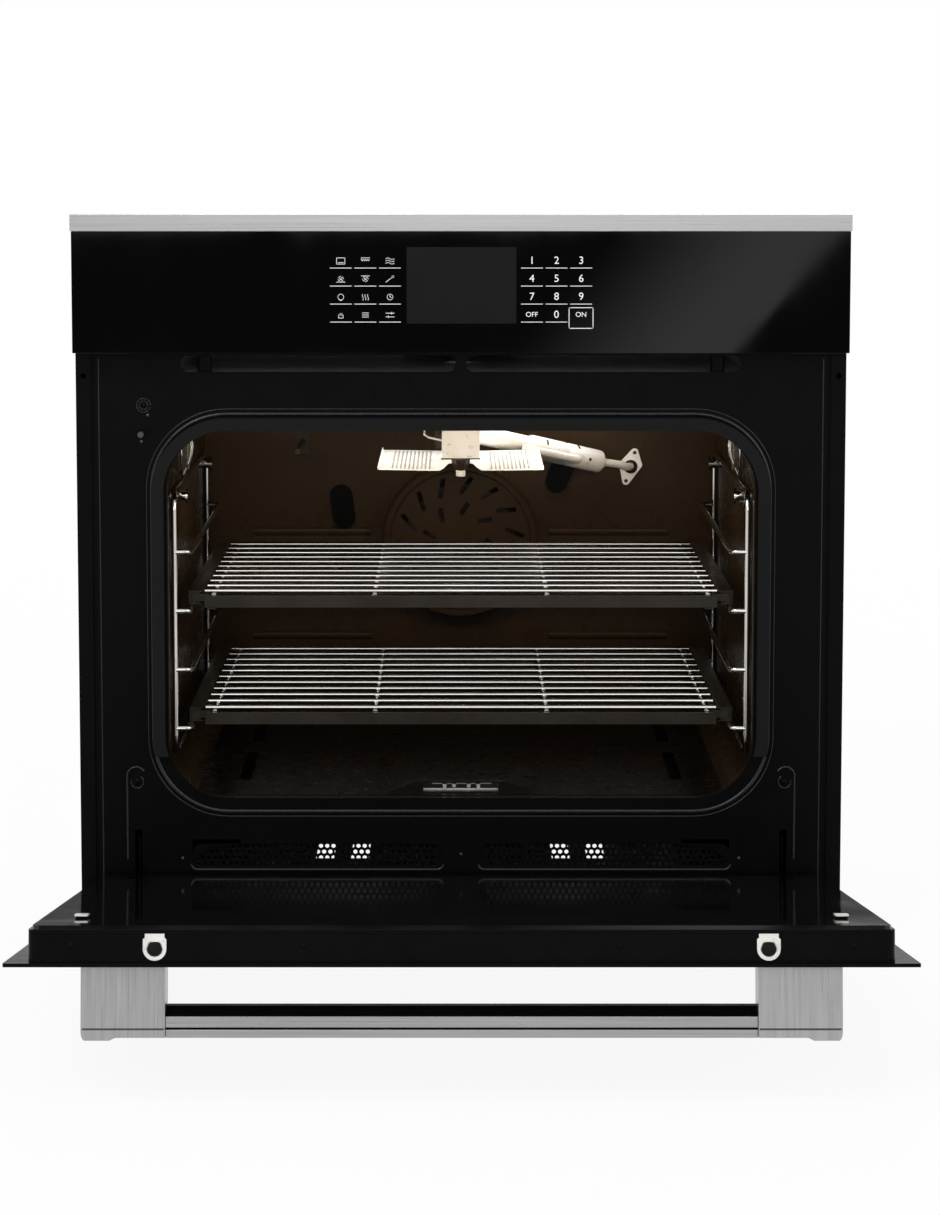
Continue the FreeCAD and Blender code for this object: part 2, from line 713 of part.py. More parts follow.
def build_cooling_blower():
    side = 60
    low = wool_top
    high = chassis_top - 5
    near = blower_y - 58
    far = blower_y + 58
    wall = 1.2
    duct_half = vent_half + 6
    duct_high = low + 27
    tunnel = block((-side + wall, side - wall), (near - 1, near + wall + 1), (low + wall, duct_high - wall))
    case = cut(
        block((-side, side), (near, far), (low, high)),
        block((-side + wall, side - wall), (near + wall, far - wall), (low + wall, high - wall)),
    )
    eye = rod("x", (blower_y, blower_z), (-side - 1, -side + wall + 1), 26)
    shaft_hole = rod("x", (blower_y, blower_z), (side - wall - 1, side + 1), 6)
    node("blower_housing", cut(case, tunnel, eye, shaft_hole))

    duct = cut(
        block((-duct_half, duct_half), (behind, near), (low, duct_high)),
        block((-duct_half + wall, duct_half - wall), (behind - 1, near - wall), (low + wall, duct_high - wall)),
        tunnel_through(side, wall, near, low, duct_high),
        rod("z", (0, flue_y), (low - 1, low + wall + 1), 16.5),
    )
    flue = cut(
        rod("z", (0, flue_y), (liner_top, low), 18),
        rod("z", (0, flue_y), (liner_top - 1, low + 1), 16.5),
    )
    node("air_duct", join(duct, flue))

    length = 45
    spin = Vector(1, 0, 0)
    hub = spot(0, blower_y, blower_z)
    vane = Part.makeBox(2 * length, 5, 1, hub + Vector(-length, -2.5, float(wheel_radius) - 3))
    vanes = [solid(turned(vane, hub, spin, 20 * step)) for step in range(18)]
    centre = (blower_y, blower_z)
    disc = rod("x", centre, (-1, 1), wheel_radius)
    rings = [
        cut(rod("x", centre, span, wheel_radius), rod("x", centre, (span[0] - 1, span[1] + 1), wheel_radius - 5))
        for span in ((-length, -length + 2), (length - 2, length))
    ]
    shaft = rod("x", centre, (0, side + 30), pin_radius)
    node("blower_wheel", join(disc, shaft, *rings, *vanes))

    can = rod("x", centre, (side, side + 42), 30)
    bore = rod("x", centre, (side - 1, side + 32), pin_radius + bearing_gap)
    cradle = block((side + 6, side + 34), (blower_y - 14, blower_y + 14), (low, blower_z - 20))
    node("blower_motor", cut(join(can, cradle), bore))


def tunnel_through(side, wall, near, low, high):
    """The opening in the duct's back that meets the blower outlet."""
    return block((-side + wall, side - wall), (near - wall - 1, near + 1), (low + wall, high - wall))


def build_lamps_and_probes():
    centre = (lamp_y, lamp_z)
    lens = rod("x", centre, (cavity_half - 9, liner_half), lamp_radius)
    node("lamp_lenses", pair(lens))
    can = cut(
        rod("x", centre, (liner_half, wool_half - 2), 26),
        rod("x", centre, (liner_half - 1, wool_half - 4), 24.5),
    )
    bulb = rod("x", centre, (liner_half + 4, wool_half - 4), 9)
    node("lamp_housings", pair(join(can, bulb)))

    probe = rod("y", (sensor_x, sensor_z), (cavity_back - 118, wool_back + 6), 3)
    plate = block((sensor_x - 8, sensor_x + 8), (cavity_back - 1.5, cavity_back), (sensor_z - 14, sensor_z + 14))
    node("temperature_sensor", join(probe, plate))

    centre = (jack_y, jack_z)
    socket = rod("x", centre, (cavity_half - 5, liner_half + 24), 5)
    collar = rod("x", centre, (cavity_half - 2, cavity_half), 8)
    node("probe_jack", join(socket, collar))


# ---------------------------------------------------------------- rack guides and racks

guide_x = cavity_half - 4
rung_x = cavity_half - 19
guide_front = behind + 24
guide_back = cavity_back - 30
guide_low = floor_level + 40
guide_high = lamp_z - lamp_radius - guide_gap


def rung_level(step):
    return floor_level + first_rung + rack_pitch * step


def build_rack_guides():
    middle = (guide_front + guide_back) / 2
    loop = bent_rod(
        [
            spot(guide_x, middle, guide_low),
            spot(guide_x, guide_front, guide_low),
            spot(guide_x, guide_front, guide_high),
            spot(guide_x, guide_back, guide_high),
            spot(guide_x, guide_back, guide_low),
            spot(guide_x, middle, guide_low),
        ],
        rung_radius, 18,
    )
    rungs = [
        bent_rod(
            [
                spot(guide_x, guide_front, rung_level(step)),
                spot(rung_x, guide_front + 2, rung_level(step)),
                spot(rung_x, guide_back - 2, rung_level(step)),
                spot(guide_x, guide_back, rung_level(step)),
            ],
            rung_radius, 6,
        )
        for step in range(4)
    ]
    ladder = solid(fused([loop] + rungs))
    studs = []
    for y in (guide_front + 50, guide_back - 50):
        z = guide_high - rung_radius - 5
        stem = rod("x", (y, z), (cavity_half - 12, cavity_half), 4.8)
        head = rod("x", (y, z), (cavity_half - 14, cavity_half - 12), 8)
        studs.append(pair(join(stem, head)))
    node("rack_guides", group(pair(ladder), *studs))


rail_x = cavity_half - rail_inset
rail_front = behind + rack_setback
rail_back = rail_front + rail_length
grid_half = rail_x - 16


def rail_level(step):
    return rung_level(step) + rung_radius + 7 + running_gap


def channel(outer, depth, height, level, wall):
    """A rail channel that is open towards the middle of the oven."""
    skin = block((outer - depth, outer), (rail_front, rail_back), (level - height / 2, level + height / 2))
    core = block(
        (outer - depth - 1, outer - wall),
        (rail_front - 1, rail_back + 1),
        (level - height / 2 + wall, level + height / 2 - wall),
    )
    return cut(skin, core)


def build_rack_bases():
    bases = []
    for step in (0, 2):
        level = rail_level(step)
        side = channel(rail_x, 14, 14, level, 1.3)
        cross = rod("x", (rail_back - 6, level - 9.3), (-rail_x + 6.5, rail_x - 6.5), wire_radius)
        bases.append(join(side, mirrored(side), cross))
    node("rack_bases", group(*bases))


def build_rack(name, step):
    level = rail_level(step)
    slide = channel(rail_x - 1.6, 10, 10.8, level, 1.3)
    node(name + "_slide_members", pair(slide))

    bar = block((rail_x - 21, rail_x - 3.2), (rail_front, rail_back), (level - 3.8, level + 3.8))
    fascia = block(
        (-rail_x + 16, rail_x - 16), (rail_front - 6, rail_front - 3), (level - 9.3, level + 2.7)
    )
    lug = block((rail_x - 21, rail_x - 16), (rail_front - 3, rail_front), (level - 3.8, level + 2.7))
    brace = block((-rail_x + 20, rail_x - 20), (rail_back - 3, rail_back), (level - 3.8, level - 0.8))
    node(name + "_rails", join(bar, mirrored(bar), fascia, lug, mirrored(lug), brace))

    wire_z = level + 3.8 + wire_radius + 0.2
    reach = rail_x - 16
    count = 11
    pitch = (rail_length - 10) / (count - 1)
    wires = [
        rod("x", (rail_front + 3 + pitch * number, wire_z), (-reach, reach), wire_radius)
        for number in range(count)
    ]
    under = wire_z - wire_radius - 2.4
    span = (rail_front, rail_back - 4)
    rods = [rod("y", (x, under), span, rung_radius) for x in (-86, 86, -rail_x + 25, rail_x - 25)]
    node(name + "_grid", join(*wires, *rods))


# ---------------------------------------------------------------- control panel

def build_control_panel():
    glass_half = oven_width / 2 - panel_inset
    node("control_panel_glass", panel((-glass_half, glass_half), (glass_front, glass_back), (panel_low, trim_low), 1))

    trim_half = oven_width / 2
    lip = block((-trim_half, trim_half), (glass_front, glass_front + 1.5), (trim_low, oven_height))
    roof = block((-trim_half, trim_half), (glass_front, face), (oven_height - 1.5, oven_height))
    node("top_trim_strip", join(lip, roof))

    case_half = oven_width / 2 - 6
    case = cut(
        block((-case_half, case_half), (glass_back, face), (panel_low + 4, trim_low - 2)),
        block(
            (-case_half + 1.5, case_half - 1.5),
            (glass_back - 1, face - 1.5),
            (panel_low + 5.5, trim_low - 3.5),
        ),
    )
    node("control_panel_housing", case)

    display_z = (trim_low - 90, trim_low - 15)
    display = block((-54, 54), (glass_back, glass_back + 6), display_z)

    board = block((-150, 150), (glass_back + 8, glass_back + 9.6), (trim_low - 96, trim_low - 12))
    posts = [
        rod("y", (x, z), (glass_back + 9.6, face - 1.5), 3)
        for x in (-140, 140) for z in (trim_low - 90, trim_low - 20)
    ]
    chip = block((-30, 30), (glass_back + 9.6, glass_back + 13), (trim_low - 70, trim_low - 40))
    socket = block((-20, 20), (glass_back + 6, glass_back + 8), (trim_low - 60, trim_low - 50))
    node("control_board", group(display, join(board, chip, socket, *posts)))


# ---------------------------------------------------------------- door, modelled closed about its pivot

glass_low = -door_tail + 3
notch_x = (hinge_x - 6, hinge_x + 6)
box_back = door_inner - 3.5
window_half = hinge_x - window_margin
window_z = (door_top - 420, door_top - 110)
post_x = oven_width / 2 - handle_inset - handle_block / 2
screw_drops = (25, 39)


def hinge_notch():
    return block(notch_x, (door_pane, door_inner + 1), (-door_tail - 1, 27))


def build_door():
    width = oven_width / 2
    sheet_glass = panel((-width, width), (door_outer, door_pane), (-door_tail, door_top), 2)
    drilled = [
        rod("y", (side * post_x, door_top - drop), (door_outer - 1, door_pane + 1), 2.8)
        for side in (-1, 1) for drop in screw_drops
    ]
    hung("door_outer_glass", cut(sheet_glass, *drilled))

    notch = hinge_notch()
    shell = cut(
        panel((-box_half, box_half), (door_pane, box_back), (-door_tail, door_top - 3), 8),
        panel((-box_half + 1.2, box_half - 1.2), (door_pane - 1, box_back - 1.2), (-door_tail + 1.2, door_top - 4.2), 6),
    )
    window = panel((-window_half, window_half), (box_back - 3, box_back + 1), window_z, 14)
    hung("door_liner", cut(shell, window, notch, mirrored(notch)))

    glass_half = box_half - 3.5
    pane = panel((-glass_half, glass_half), (box_back, door_inner), (glass_low, door_top - 4), 6)
    hung("door_inner_glass", cut(pane, notch, mirrored(notch)))

    pack_z = (window_z[0] - 12, window_z[1] + 12)
    pack_y = (door_pane + 8, door_pane + 11)
    hung("door_window_glass", panel((-window_half - 12, window_half + 12), pack_y, pack_z, 10))

    wool_y = (door_pane + 2, box_back - 1.2)
    wool = cut(
        block((-hinge_x + 10, hinge_x - 10), wool_y, (-door_tail + 8, door_top - 20)),
        block((-window_half, window_half), (wool_y[0] - 1, wool_y[1] + 1), window_z),
        block((-window_half - 12.3, window_half + 12.3), (pack_y[0] - 0.3, pack_y[1] + 0.3),
              (pack_z[0] - 0.3, pack_z[1] + 0.3)),
    )
    screws = [
        rod("y", (side * post_x, door_top - drop), wool_y, 6.5)
        for side in (-1, 1) for drop in screw_drops
    ]
    hung("door_insulation", cut(wool, group(*screws)))


def build_hinges():
    outer = hinge_x + 6.7
    inside = hinge_x - 6.7
    case = cut(
        block((inside, outer), (door_pane, box_back - 1.2), (-14, 200)),
        block((inside + 1.5, outer - 1.5), (door_pane + 1.5, box_back), (-15, 198.5)),
        block((inside + 1.5, outer - 1.5), (door_pane - 1, door_pane + 1.5), (-15, 9)),
    )
    pin = rod("x", (0, 0), (inside, outer), pin_radius)
    bar = block((hinge_x - 4.9, hinge_x + 4.9), (0, 6), (32, 136))
    head = rod("x", (3, 32), (hinge_x - 4.9, hinge_x + 4.9), 5)
    hung("hinge_rods", pair(join(bar, head)))

    spring = cut(
        block((hinge_x - 5, hinge_x + 5), (-2, 8), (160, 198)),
        block((hinge_x - 3, hinge_x + 3), (-1, 7), (159, 199)),
    )
    hung("hinge_cases", group(pair(join(case, pin)), pair(spring)))

    eye_radius = pivot_setback - door_glass - 0.4
    plate = (hinge_x - 1.5, hinge_x + 1.5)
    reach = behind + 44
    eye = rod("x", (pivot_y, pivot_height), plate, eye_radius)
    beam = block(plate, (pivot_y, reach), (pivot_height - 3, pivot_height + 15))
    claw = block(plate, (behind + 6, reach - 14), (pivot_height + 15, pivot_height + 58))
    hole = rod("x", (pivot_y, pivot_height), (hinge_x - 3, hinge_x + 3), pin_radius + bearing_gap)
    node("hinge_arms", pair(cut(join(eye, beam, claw), hole)))

    box_y = (behind, behind + 52)
    box = cut(
        block((hinge_x - 7, hinge_x + 7), box_y, (frame_base + 4, 124)),
        block((hinge_x - 5.5, hinge_x + 5.5), (behind - 1, behind + 50.5), (46, 122.5)),
    )
    clamps = [
        block(side, (behind + 28, behind + 40), (pivot_height - 2, pivot_height + 12))
        for side in ((hinge_x - 5.5, hinge_x - 1.5), (hinge_x + 1.5, hinge_x + 5.5))
    ]
    node("hinge_receivers", pair(join(box, *clamps)))


def build_door_fittings():
    edge = door_top - 3
    tongue = cut(
        join(
            block((-11.5, 11.5), (box_back - 15.5, box_back - 0.5), (edge, edge + 1.6)),
            rod("z", (0, box_back - 15.5), (edge, edge + 1.6), 11.5),
        ),
        rod("z", (0, box_back - 15.5), (edge - 1, edge + 2), 6.3),
    )
    bracket = moved(tongue, cavity_half - 35)
    bumper = moved(rod("z", (0, box_back - 15.5), (edge, edge + 2.6), 6), cavity_half - 35)
    hung("door_bumpers", group(pair(bracket), pair(bumper)))

    clip = join(
        block((hinge_x - 10, hinge_x + 4), (door_inner, door_inner + 1.5), (door_top - 82, door_top - 66)),
        block((hinge_x - 8, hinge_x + 2), (door_inner + 1.5, door_inner + 4), (door_top - 76, door_top - 72)),
    )
    hung("glass_clips", pair(clip))

    block_out = door_outer - handle_stand
    post_span = (post_x - handle_block / 2, post_x + handle_block / 2)
    post_z = (door_top - 46, door_top - 16)
    post = panel(post_span, (block_out, door_outer), post_z, 5)
    taps = [
        rod("y", (post_x, door_top - drop), (door_outer - 14, door_outer + 1), 2.5)
        for drop in screw_drops
    ]
    posts = pair(cut(post, *taps))

    bar_z = (door_top - 43, door_top - 43 + bar_height)
    hung("handle_bar", panel((-post_span[0], post_span[0]), (block_out + 2, block_out + 2 + bar_depth), bar_z, 4))

    screws = []
    for drop in screw_drops:
        at = (post_x, door_top - drop)
        shank = rod("y", at, (door_outer - 12, door_pane), 2.4)
        head = rod("y", at, (door_pane, door_pane + 3), 5)
        screws.append(pair(join(shank, head)))
    hung("handle_posts", group(posts, *screws))


def moved(item, x):
    """The same shape shifted along X, bound to its formula."""
    copy = group(item)
    copy.setExpression("Placement.Base.x", as_size(x).formula)
    return copy


# ---------------------------------------------------------------- door switch, bushing, fasteners

def build_small_parts():
    tip = closed_face + running_gap
    plunger = rod("y", (switch_x, switch_z), (tip, behind + 12), 3)
    node("switch_plunger", plunger)
    housing = cut(
        block((switch_x - 9, switch_x + 9), (behind, behind + 26), (switch_z - 12, switch_z + 12)),
        rod("y", (switch_x, switch_z), (behind - 1, behind + 18), 3 + bearing_gap),
    )
    node("door_switch", housing)

    centre = (conduit_x, conduit_z)
    sleeve = rod("y", centre, (rear - 9, rear + 3), conduit_radius + 2.7)
    flange = rod("y", centre, (rear, rear + 3), conduit_radius + 8)
    bore = rod("y", centre, (rear - 10, rear + 4), conduit_radius)
    node("conduit_bushing", cut(join(sleeve, flange), bore))

    heads = []
    for z in (40, 240, 440, 640):
        screw = rod("y", (half - 12, z), (rear, rear + 2.4), 4.5)
        heads += [screw, mirrored(screw)]
    node("chassis_screws", group(*heads))


def build_all():
    build_chassis()
    build_frame()
    build_cavity()
    build_floor()
    orifice_y = build_bake_burner()
    build_broil_burner()
    build_gas_train(orifice_y)
    build_convection()
    build_cooling_blower()
    build_lamps_and_probes()
    build_rack_guides()
    build_rack_bases()
    build_rack("lower", 0)
    build_rack("upper", 2)
    build_control_panel()
    build_door()
    build_hinges()
    build_door_fittings()
    build_small_parts()


def check_all():
    """Stop on any failed object or empty solid."""
    for item in doc.Objects:
        if "Invalid" in item.State or "Error" in item.State:
            raise RuntimeError(f"{item.Label} failed: {item.State}")
    for name, item in nodes.items():
        if item.Shape.isNull() or not item.Shape.isValid() or not item.Shape.Solids:
            raise RuntimeError(f"{name} has no valid solid")


build_all()
doc.recompute()
check_all()
os.makedirs("parts", exist_ok=True)
for name, item in nodes.items():
    item.Shape.exportStep(f"parts/{name}.step")
    print(name, len(item.Shape.Solids), round(item.Shape.Volume / 1000, 1))
print(len(nodes), "nodes")
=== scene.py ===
import json
import math
import random

import bmesh
import bpy
from mathutils import Matrix, Vector


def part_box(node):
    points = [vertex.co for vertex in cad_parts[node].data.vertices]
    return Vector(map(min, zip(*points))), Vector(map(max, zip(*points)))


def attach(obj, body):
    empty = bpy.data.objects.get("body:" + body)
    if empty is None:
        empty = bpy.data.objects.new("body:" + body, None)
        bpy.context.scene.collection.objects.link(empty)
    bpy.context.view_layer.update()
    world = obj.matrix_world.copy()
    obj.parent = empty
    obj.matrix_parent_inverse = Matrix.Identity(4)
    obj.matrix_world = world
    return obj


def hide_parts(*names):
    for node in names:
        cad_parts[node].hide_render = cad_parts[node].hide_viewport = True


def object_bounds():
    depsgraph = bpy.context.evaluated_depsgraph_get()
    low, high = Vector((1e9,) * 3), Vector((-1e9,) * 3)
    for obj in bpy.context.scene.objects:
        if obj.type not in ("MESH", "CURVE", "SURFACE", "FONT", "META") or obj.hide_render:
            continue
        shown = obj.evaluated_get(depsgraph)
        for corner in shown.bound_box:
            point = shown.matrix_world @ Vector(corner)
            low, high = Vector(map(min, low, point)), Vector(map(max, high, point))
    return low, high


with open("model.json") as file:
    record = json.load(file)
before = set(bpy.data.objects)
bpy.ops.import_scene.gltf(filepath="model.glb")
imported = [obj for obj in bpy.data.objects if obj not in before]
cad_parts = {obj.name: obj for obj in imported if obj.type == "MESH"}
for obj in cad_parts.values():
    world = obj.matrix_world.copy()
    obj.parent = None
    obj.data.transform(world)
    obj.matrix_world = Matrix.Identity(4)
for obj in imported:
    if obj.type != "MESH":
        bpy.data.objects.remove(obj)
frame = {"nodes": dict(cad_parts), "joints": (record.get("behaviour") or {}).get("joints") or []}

MM = 0.001
nodes = frame["nodes"]
cad_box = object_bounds()


# ---------------------------------------------------------------- materials

class Finish:
    """One procedural material: a Principled shader and short ways to add detail to it."""

    def __init__(self, name, colour, roughness, metallic=0.0):
        self.material = bpy.data.materials.new(name)
        self.material.use_nodes = True
        self.tree = self.material.node_tree
        self.shader = self.tree.nodes["Principled BSDF"]
        self.set(self.shader, {"Base Color": (*colour, 1), "Roughness": roughness, "Metallic": metallic})
        self.place = self.tree.nodes.new("ShaderNodeTexCoord").outputs["Object"]

    def set(self, node, values):
        for socket, value in values.items():
            node.inputs[socket].default_value = value

    def add(self, kind, links=None, values=None, **settings):
        node = self.tree.nodes.new(kind)
        for name, value in settings.items():
            setattr(node, name, value)
        self.set(node, values or {})
        for socket, source in (links or {}).items():
            self.tree.links.new(source, node.inputs[socket])
        return node

    def scaled(self, stretch):
        """The object's coordinates, stretched by a factor on each axis."""
        node = self.add("ShaderNodeMapping", {"Vector": self.place}, {"Scale": stretch})
        return node.outputs["Vector"]

    def turned(self, angle, stretch):
        """The object's coordinates, turned about X and then stretched."""
        first = self.add("ShaderNodeMapping", {"Vector": self.place}, {"Rotation": (angle, 0, 0)})
        node = self.add("ShaderNodeMapping", {"Vector": first.outputs["Vector"]}, {"Scale": stretch})
        return node.outputs["Vector"]

    def noise(self, scale, detail=2.0, vector=None, roughness=0.5, distortion=0.0):
        values = {"Scale": scale, "Detail": detail, "Roughness": roughness, "Distortion": distortion}
        node = self.add("ShaderNodeTexNoise", {"Vector": vector or self.place}, values)
        return node.outputs["Fac"]

    def cells(self, scale, vector=None, feature="F1", output="Distance"):
        node = self.add("ShaderNodeTexVoronoi", {"Vector": vector or self.place}, {"Scale": scale},
                        feature=feature)
        return node.outputs[output]

    def spread(self, source, low, high, start=0.3, end=0.7):
        """Maps start..end of a texture to low..high."""
        values = {"From Min": start, "From Max": end, "To Min": low, "To Max": high}
        node = self.add("ShaderNodeMapRange", {"Value": source}, values, clamp=True)
        return node.outputs["Result"]

    def blend(self, source, first, second):
        """A colour between two, by a texture from 0 to 1."""
        node = self.add("ShaderNodeMix", {"Factor": source}, data_type="RGBA")
        node.inputs[6].default_value = (*first, 1)
        node.inputs[7].default_value = (*second, 1)
        return node.outputs[2]

    def wire(self, socket, source):
        self.tree.links.new(source, self.shader.inputs[socket])

    def relief(self, layers, edge=0.0):
        """Bumps from (height, strength, distance) layers, over edges softened by a radius."""
        normal = None
        if edge:
            normal = self.add("ShaderNodeBevel", values={"Radius": edge}, samples=4).outputs["Normal"]
        for height, strength, distance in layers:
            links = {"Height": height}
            if normal:
                links["Normal"] = normal
            node = self.add("ShaderNodeBump", links, {"Strength": strength, "Distance": distance})
            normal = node.outputs["Normal"]
        self.wire("Normal", normal)


def enamel_black():
    """Satin black porcelain with a fine orange peel and a little dust."""
    f = Finish("enamel_black", (0.003, 0.003, 0.0031), 0.3)
    f.wire("Roughness", f.spread(f.noise(38, 4), 0.25, 0.36))
    f.wire("Base Color", f.blend(f.spread(f.noise(900, 2), 0, 1, 0.66, 0.78),
                                 (0.0016, 0.0016, 0.00165), (0.004, 0.004, 0.0042)))
    f.set(f.shader, {"Specular IOR Level": 0.05})
    f.relief([(f.noise(520, 2), 0.1, 0.0004)], edge=0.0008)
    return f.material


def rib_enamel_painted_highlight():
    """Black porcelain for the ribs that stand proud, glossier than the face, with a lighter colour that is a painted
    highlight.
    """
    f = Finish("rib_enamel_painted_highlight", (0.008, 0.008, 0.0082), 0.28)
    f.wire("Roughness", f.spread(f.noise(60, 3), 0.2, 0.34))
    # The ribs' lighter black is a painted highlight.
    f.wire("Base Color", f.blend(f.spread(f.noise(240, 3), 0, 1), (0.006, 0.006, 0.0062), (0.012, 0.012, 0.0123)))
    f.set(f.shader, {"Specular IOR Level": 0.3})
    f.relief([(f.noise(520, 2), 0.08, 0.0003)])
    return f.material


def cavity_enamel(name="cavity_enamel", shade=1.0):
    """Brown-grey porcelain with pale specks, as fired oven liners have. A shade below 1 darkens its colour as
    painted shade.
    """
    f = Finish(name, (0.024, 0.017, 0.011), 0.3)
    base = f.spread(f.noise(4, 3), 0, 1, 0.3, 0.72)
    low = (0.0168 * shade, 0.0101 * shade, 0.0048 * shade)
    high = (0.0208 * shade, 0.0127 * shade, 0.0063 * shade)
    f.wire("Base Color", f.blend(base, low, high))
    f.wire("Roughness", f.spread(f.noise(60, 3), 0.24, 0.36))
    speck = f.spread(f.cells(850), 1, 0, 0.1, 0.25)
    f.relief([(f.noise(420, 2), 0.12, 0.0004), (speck, 0.06, 0.0001)], edge=0.001)
    f.set(f.shader, {"Specular IOR Level": 0.09})
    return f.material


def black_glass():
    """Back-printed glass: deep black, glossy, with faint wiping streaks."""
    f = Finish("black_glass", (0.0014, 0.0014, 0.0015), 0.03)
    f.wire("Roughness", f.spread(f.noise(9, 4, f.scaled((1, 1, 0.3)), distortion=0.6), 0.015, 0.06))
    f.set(f.shader, {"IOR": 1.5, "Specular IOR Level": 0.36})
    f.relief([(f.noise(5, 1), 0.02, 0.0004)], edge=0.0006)
    return f.material


def inner_glass():
    """The door's inner pane, dark behind, with a thin film of haze."""
    f = Finish("inner_glass", (0.003, 0.003, 0.0033), 0.05)
    f.wire("Roughness", f.spread(f.noise(12, 5, distortion=0.4), 0.03, 0.1))
    f.set(f.shader, {"IOR": 1.5, "Specular IOR Level": 0.42})
    f.relief([(f.noise(6, 1), 0.02, 0.0005)])
    return f.material


def lamp_glass():
    """Pressed lamp glass with rings, a little smoked, over a bulb that barely glows."""
    f = Finish("lamp_glass", (0.05, 0.043, 0.034), 0.12)
    rings = f.add("ShaderNodeTexWave", {"Vector": f.place}, {"Scale": 160, "Distortion": 1.5},
                  wave_type="RINGS").outputs["Fac"]
    f.set(f.shader, {"Emission Color": (1.0, 0.79, 0.53, 1), "Emission Strength": 0.015,
                     "Transmission Weight": 0.35})
    f.wire("Roughness", f.spread(rings, 0.08, 0.3, 0, 1))
    f.relief([(rings, 0.3, 0.0005)])
    return f.material


def brushed(name, stretch, angle=0.0, colour=(0.56, 0.56, 0.565)):
    """Stainless steel, brushed along the axis that is stretched least."""
    f = Finish(name, colour, 0.3, 1.0)
    lines = f.noise(1.0, 3, f.turned(angle, stretch), roughness=0.7)
    clouds = f.noise(7, 3)
    f.wire("Roughness", f.spread(lines, 0.24, 0.42, 0.25, 0.75))
    shade = f.spread(lines, 0, 1, 0.2, 0.8)
    light = tuple(1.12 * c for c in colour)
    dark = tuple(0.84 * c for c in colour)
    f.wire("Base Color", f.blend(shade, dark, light))
    f.set(f.shader, {"Anisotropic": 0.5})
    f.relief([(lines, 0.1, 0.0002), (clouds, 0.02, 0.0006)], edge=0.0005)
    return f.material


def chrome_wire():
    """Nickel-chrome plate on wire, bright, with faint heat tint."""
    f = Finish("chrome_wire", (0.62, 0.61, 0.59), 0.12, 1.0)
    f.wire("Base Color", f.blend(f.spread(f.noise(22, 3), 0, 1), (0.62, 0.61, 0.6), (0.5, 0.47, 0.43)))
    f.wire("Roughness", f.spread(f.noise(90, 2), 0.09, 0.16))
    f.relief([(f.noise(300, 1), 0.015, 0.0002)])
    return f.material


def rail_steel():
    """Dark heat-blued steel of the telescopic rails."""
    f = Finish("rail_steel", (0.02, 0.016, 0.012), 0.35, 0.4)
    f.wire("Base Color", f.blend(f.spread(f.noise(30, 4), 0, 1), (0.018, 0.0145, 0.0105), (0.03, 0.024, 0.018)))
    f.set(f.shader, {"Specular IOR Level": 0.2})
    f.wire("Roughness", f.spread(f.noise(200, 3, f.scaled((1, 0.06, 1))), 0.26, 0.45))
    f.relief([(f.noise(600, 2, f.scaled((1, 0.08, 1))), 0.08, 0.0002)], edge=0.0006)
    return f.material


def burner_steel(name="burner_steel", level=0.68, metallic=0.3):
    """Aluminised steel, pale, with rolling marks and heat stains."""
    f = Finish(name, (level, level, level), 0.34, metallic)
    stain = f.spread(f.noise(16, 5, distortion=0.5), 0, 1, 0.45, 0.75)
    f.wire("Base Color", f.blend(stain, (level, 0.985 * level, 0.95 * level),
                                 (0.8 * level, 0.76 * level, 0.69 * level)))
    f.wire("Roughness", f.spread(f.noise(220, 3, f.scaled((1, 0.2, 1))), 0.26, 0.46))
    f.relief([(f.noise(420, 3), 0.08, 0.0003)], edge=0.0005)
    return f.material


def galvanised():
    """Hot-dip zinc with its spangle of crystals."""
    f = Finish("galvanised", (0.5, 0.51, 0.52), 0.4, 0.9)
    crystals = f.cells(120, output="Color")
    grey = f.add("ShaderNodeSeparateColor", {"Color": crystals}).outputs["Red"]
    f.wire("Base Color", f.blend(grey, (0.46, 0.47, 0.48), (0.555, 0.565, 0.58)))
    f.wire("Roughness", f.spread(grey, 0.34, 0.52, 0, 1))
    f.relief([(f.noise(260, 3), 0.06, 0.0003)], edge=0.0006)
    return f.material


def zinc_steel():
    """Bright zinc plate on pressed parts."""
    f = Finish("zinc_steel", (0.42, 0.42, 0.43), 0.3, 1.0)
    f.wire("Base Color", f.blend(f.spread(f.noise(40, 4), 0, 1), (0.46, 0.46, 0.475), (0.35, 0.35, 0.345)))
    f.wire("Roughness", f.spread(f.noise(180, 3), 0.22, 0.4))
    f.relief([(f.noise(700, 2), 0.06, 0.0002)], edge=0.0004)
    return f.material


def painted(name, colour, rough, grain, depth):
    """Textured paint or moulded plastic: a fine even grain in colour, roughness and relief."""
    f = Finish(name, colour, rough)
    light = tuple(min(1.0, 1.5 * c + 0.004) for c in colour)
    f.wire("Base Color", f.blend(f.spread(f.noise(grain * 0.3, 3), 0, 1), colour, light))
    f.wire("Roughness", f.spread(f.noise(grain * 0.5, 3), rough - 0.08, rough + 0.1))
    f.relief([(f.noise(grain, 2), 0.25, depth)], edge=0.0006)
    return f.material


def valve_aluminium():
    """Sand-cast aluminium."""
    f = Finish("valve_aluminium", (0.6, 0.6, 0.61), 0.5, 0.9)
    f.wire("Base Color", f.blend(f.spread(f.noise(60, 5), 0, 1), (0.52, 0.52, 0.53), (0.68, 0.68, 0.69)))
    f.wire("Roughness", f.spread(f.noise(300, 3), 0.42, 0.62))
    f.relief([(f.noise(650, 4), 0.35, 0.0004)], edge=0.0008)
    return f.material


